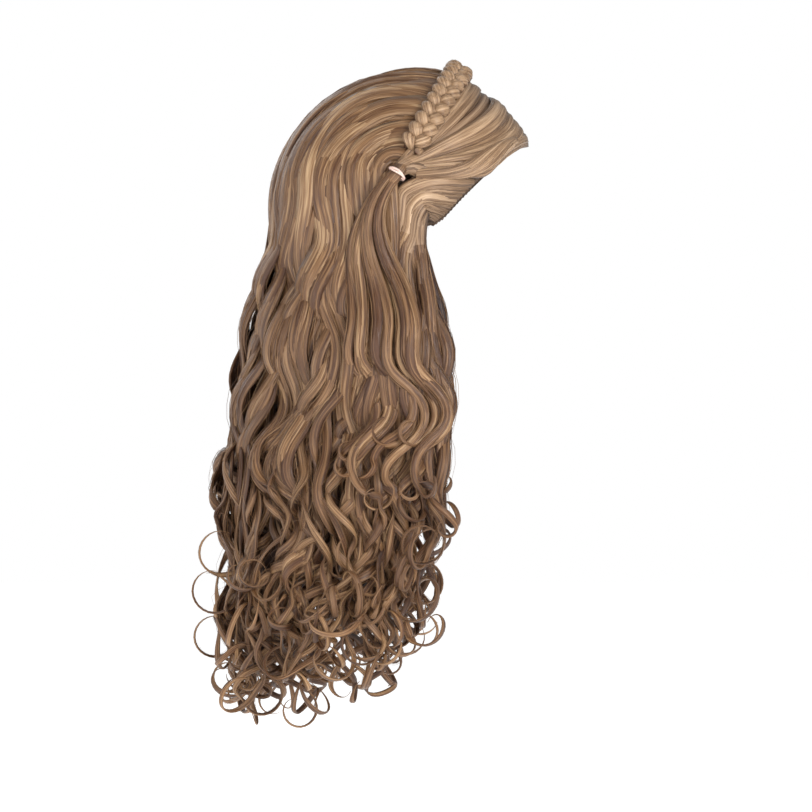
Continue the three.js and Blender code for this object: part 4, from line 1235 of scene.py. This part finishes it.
def makePlainMaterial(name, colour, shade, roughness, scale, depth, glow=0.0):
    material, bench, shader = startMaterial(name)
    place = bench.node("ShaderNodeTexCoord").outputs["Object"]
    noise = bench.node("ShaderNodeTexNoise", {"Scale": scale, "Detail": 3.0, "Vector": place}).outputs["Fac"]
    bench.feed(shader, "Base Color", makeRamp(bench, noise, ((shade, 0.3), (colour, 0.65))))
    bench.feed(shader, "Roughness", roughness)
    bench.feed(shader, "Emission Strength", glow)
    addBump(bench, shader, noise, 0.5, depth)
    return material


elasticFinish = makePlainMaterial("elasticFinish", linear(240, 212, 200), linear(214, 178, 164), 0.4, 900.0, 0.0002)
capFinish = makePlainMaterial("capNetFinish", linear(104, 84, 68), linear(62, 48, 38), 0.85, 700.0, 0.0006)
for offset, (side, word, node) in enumerate(sides):
    piece = HairPiece("hairTie" + word, "hair_tie_" + node, 71 + offset)
    makeTie(side, piece)
    piece.finish(elasticFinish, "elastic")

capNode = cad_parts["cap"]
capNode.data.materials.clear()
capNode.data.materials.append(capFinish)
print("elastics and cap finished")


# Camera at the photograph's angle, a pale floor and soft studio light

studio = dict(
    middleY=0.0107, middleZ=-0.260, distance=9.0, shown=0.666, sensor=36.0, clipEnd=50.0, aim=(0, 0, -0.25),
    floorLevel=-0.60, floorHalf=12.0, floorGlow=0.6, ambient=0.5,
    lights=(
        ("keyLight", (-2.7, -1.5, 0.7), 1.6, 78.0),
        ("fillLight", (2.4, 1.4, 1.2), 2.2, 24.0),
        ("backLight", (-1.4, 2.8, -0.1), 2.0, 34.0),
    ),
)


def makeStudio():
    scene = bpy.context.scene
    camera = bpy.data.objects.new("camera", bpy.data.cameras.new("camera"))
    camera.data.sensor_width = studio["sensor"]
    camera.data.lens = studio["sensor"] * studio["distance"] / studio["shown"]
    camera.data.clip_end = studio["clipEnd"]
    camera.location = (-studio["distance"], studio["middleY"], studio["middleZ"])
    camera.rotation_euler = (pi / 2, 0, -pi / 2)
    scene.collection.objects.link(camera)
    scene.camera = camera

    half = studio["floorHalf"]
    mesh = bpy.data.meshes.new("floor")
    mesh.from_pydata([(-half, -half, 0), (half, -half, 0), (half, half, 0), (-half, half, 0)], [], [(0, 1, 2, 3)])
    floor = bpy.data.objects.new("floor", mesh)
    floor.location = (0, 0, studio["floorLevel"])
    scene.collection.objects.link(floor)
    pale = linear(250, 250, 250), linear(247, 247, 247)
    mesh.materials.append(makePlainMaterial("paleFloor", *pale, 0.9, 4.0, 0.0001, studio["floorGlow"]))
    floor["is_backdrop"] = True

    for name, place, size, power in studio["lights"]:
        lamp = bpy.data.lights.new(name, "AREA")
        lamp.size, lamp.energy = size, power
        light = bpy.data.objects.new(name, lamp)
        light.location = place
        aim = np.array(studio["aim"]) - np.array(place)
        flat = math.hypot(aim[0], aim[1])
        light.rotation_euler = (math.atan2(flat, -aim[2]), 0, math.atan2(aim[1], aim[0]) - pi / 2)
        scene.collection.objects.link(light)

    # The backdrop is white to the camera, and dimmer as a light
    world = bpy.data.worlds.new("studio")
    world.use_nodes = True
    bench = NodeBench(world.node_tree)
    seen = bench.node("ShaderNodeLightPath").outputs["Is Camera Ray"]
    strength = bench.node("ShaderNodeMapRange", {"To Min": studio["ambient"], "To Max": 1.0, "Value": seen})
    bench.feed(bench.nodes["Background"], "Color", (1, 1, 1, 1))
    bench.feed(bench.nodes["Background"], "Strength", strength.outputs[0])
    scene.world = world
    scene.view_settings.view_transform = "Standard"


makeStudio()
print("studio ready")

counts = {o.name: sum(len(p.vertices) - 2 for p in o.data.polygons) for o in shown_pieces() if o.type == "MESH"}
print("triangles:", sum(counts.values()), "most:", max(counts.items(), key=lambda item: item[1]))
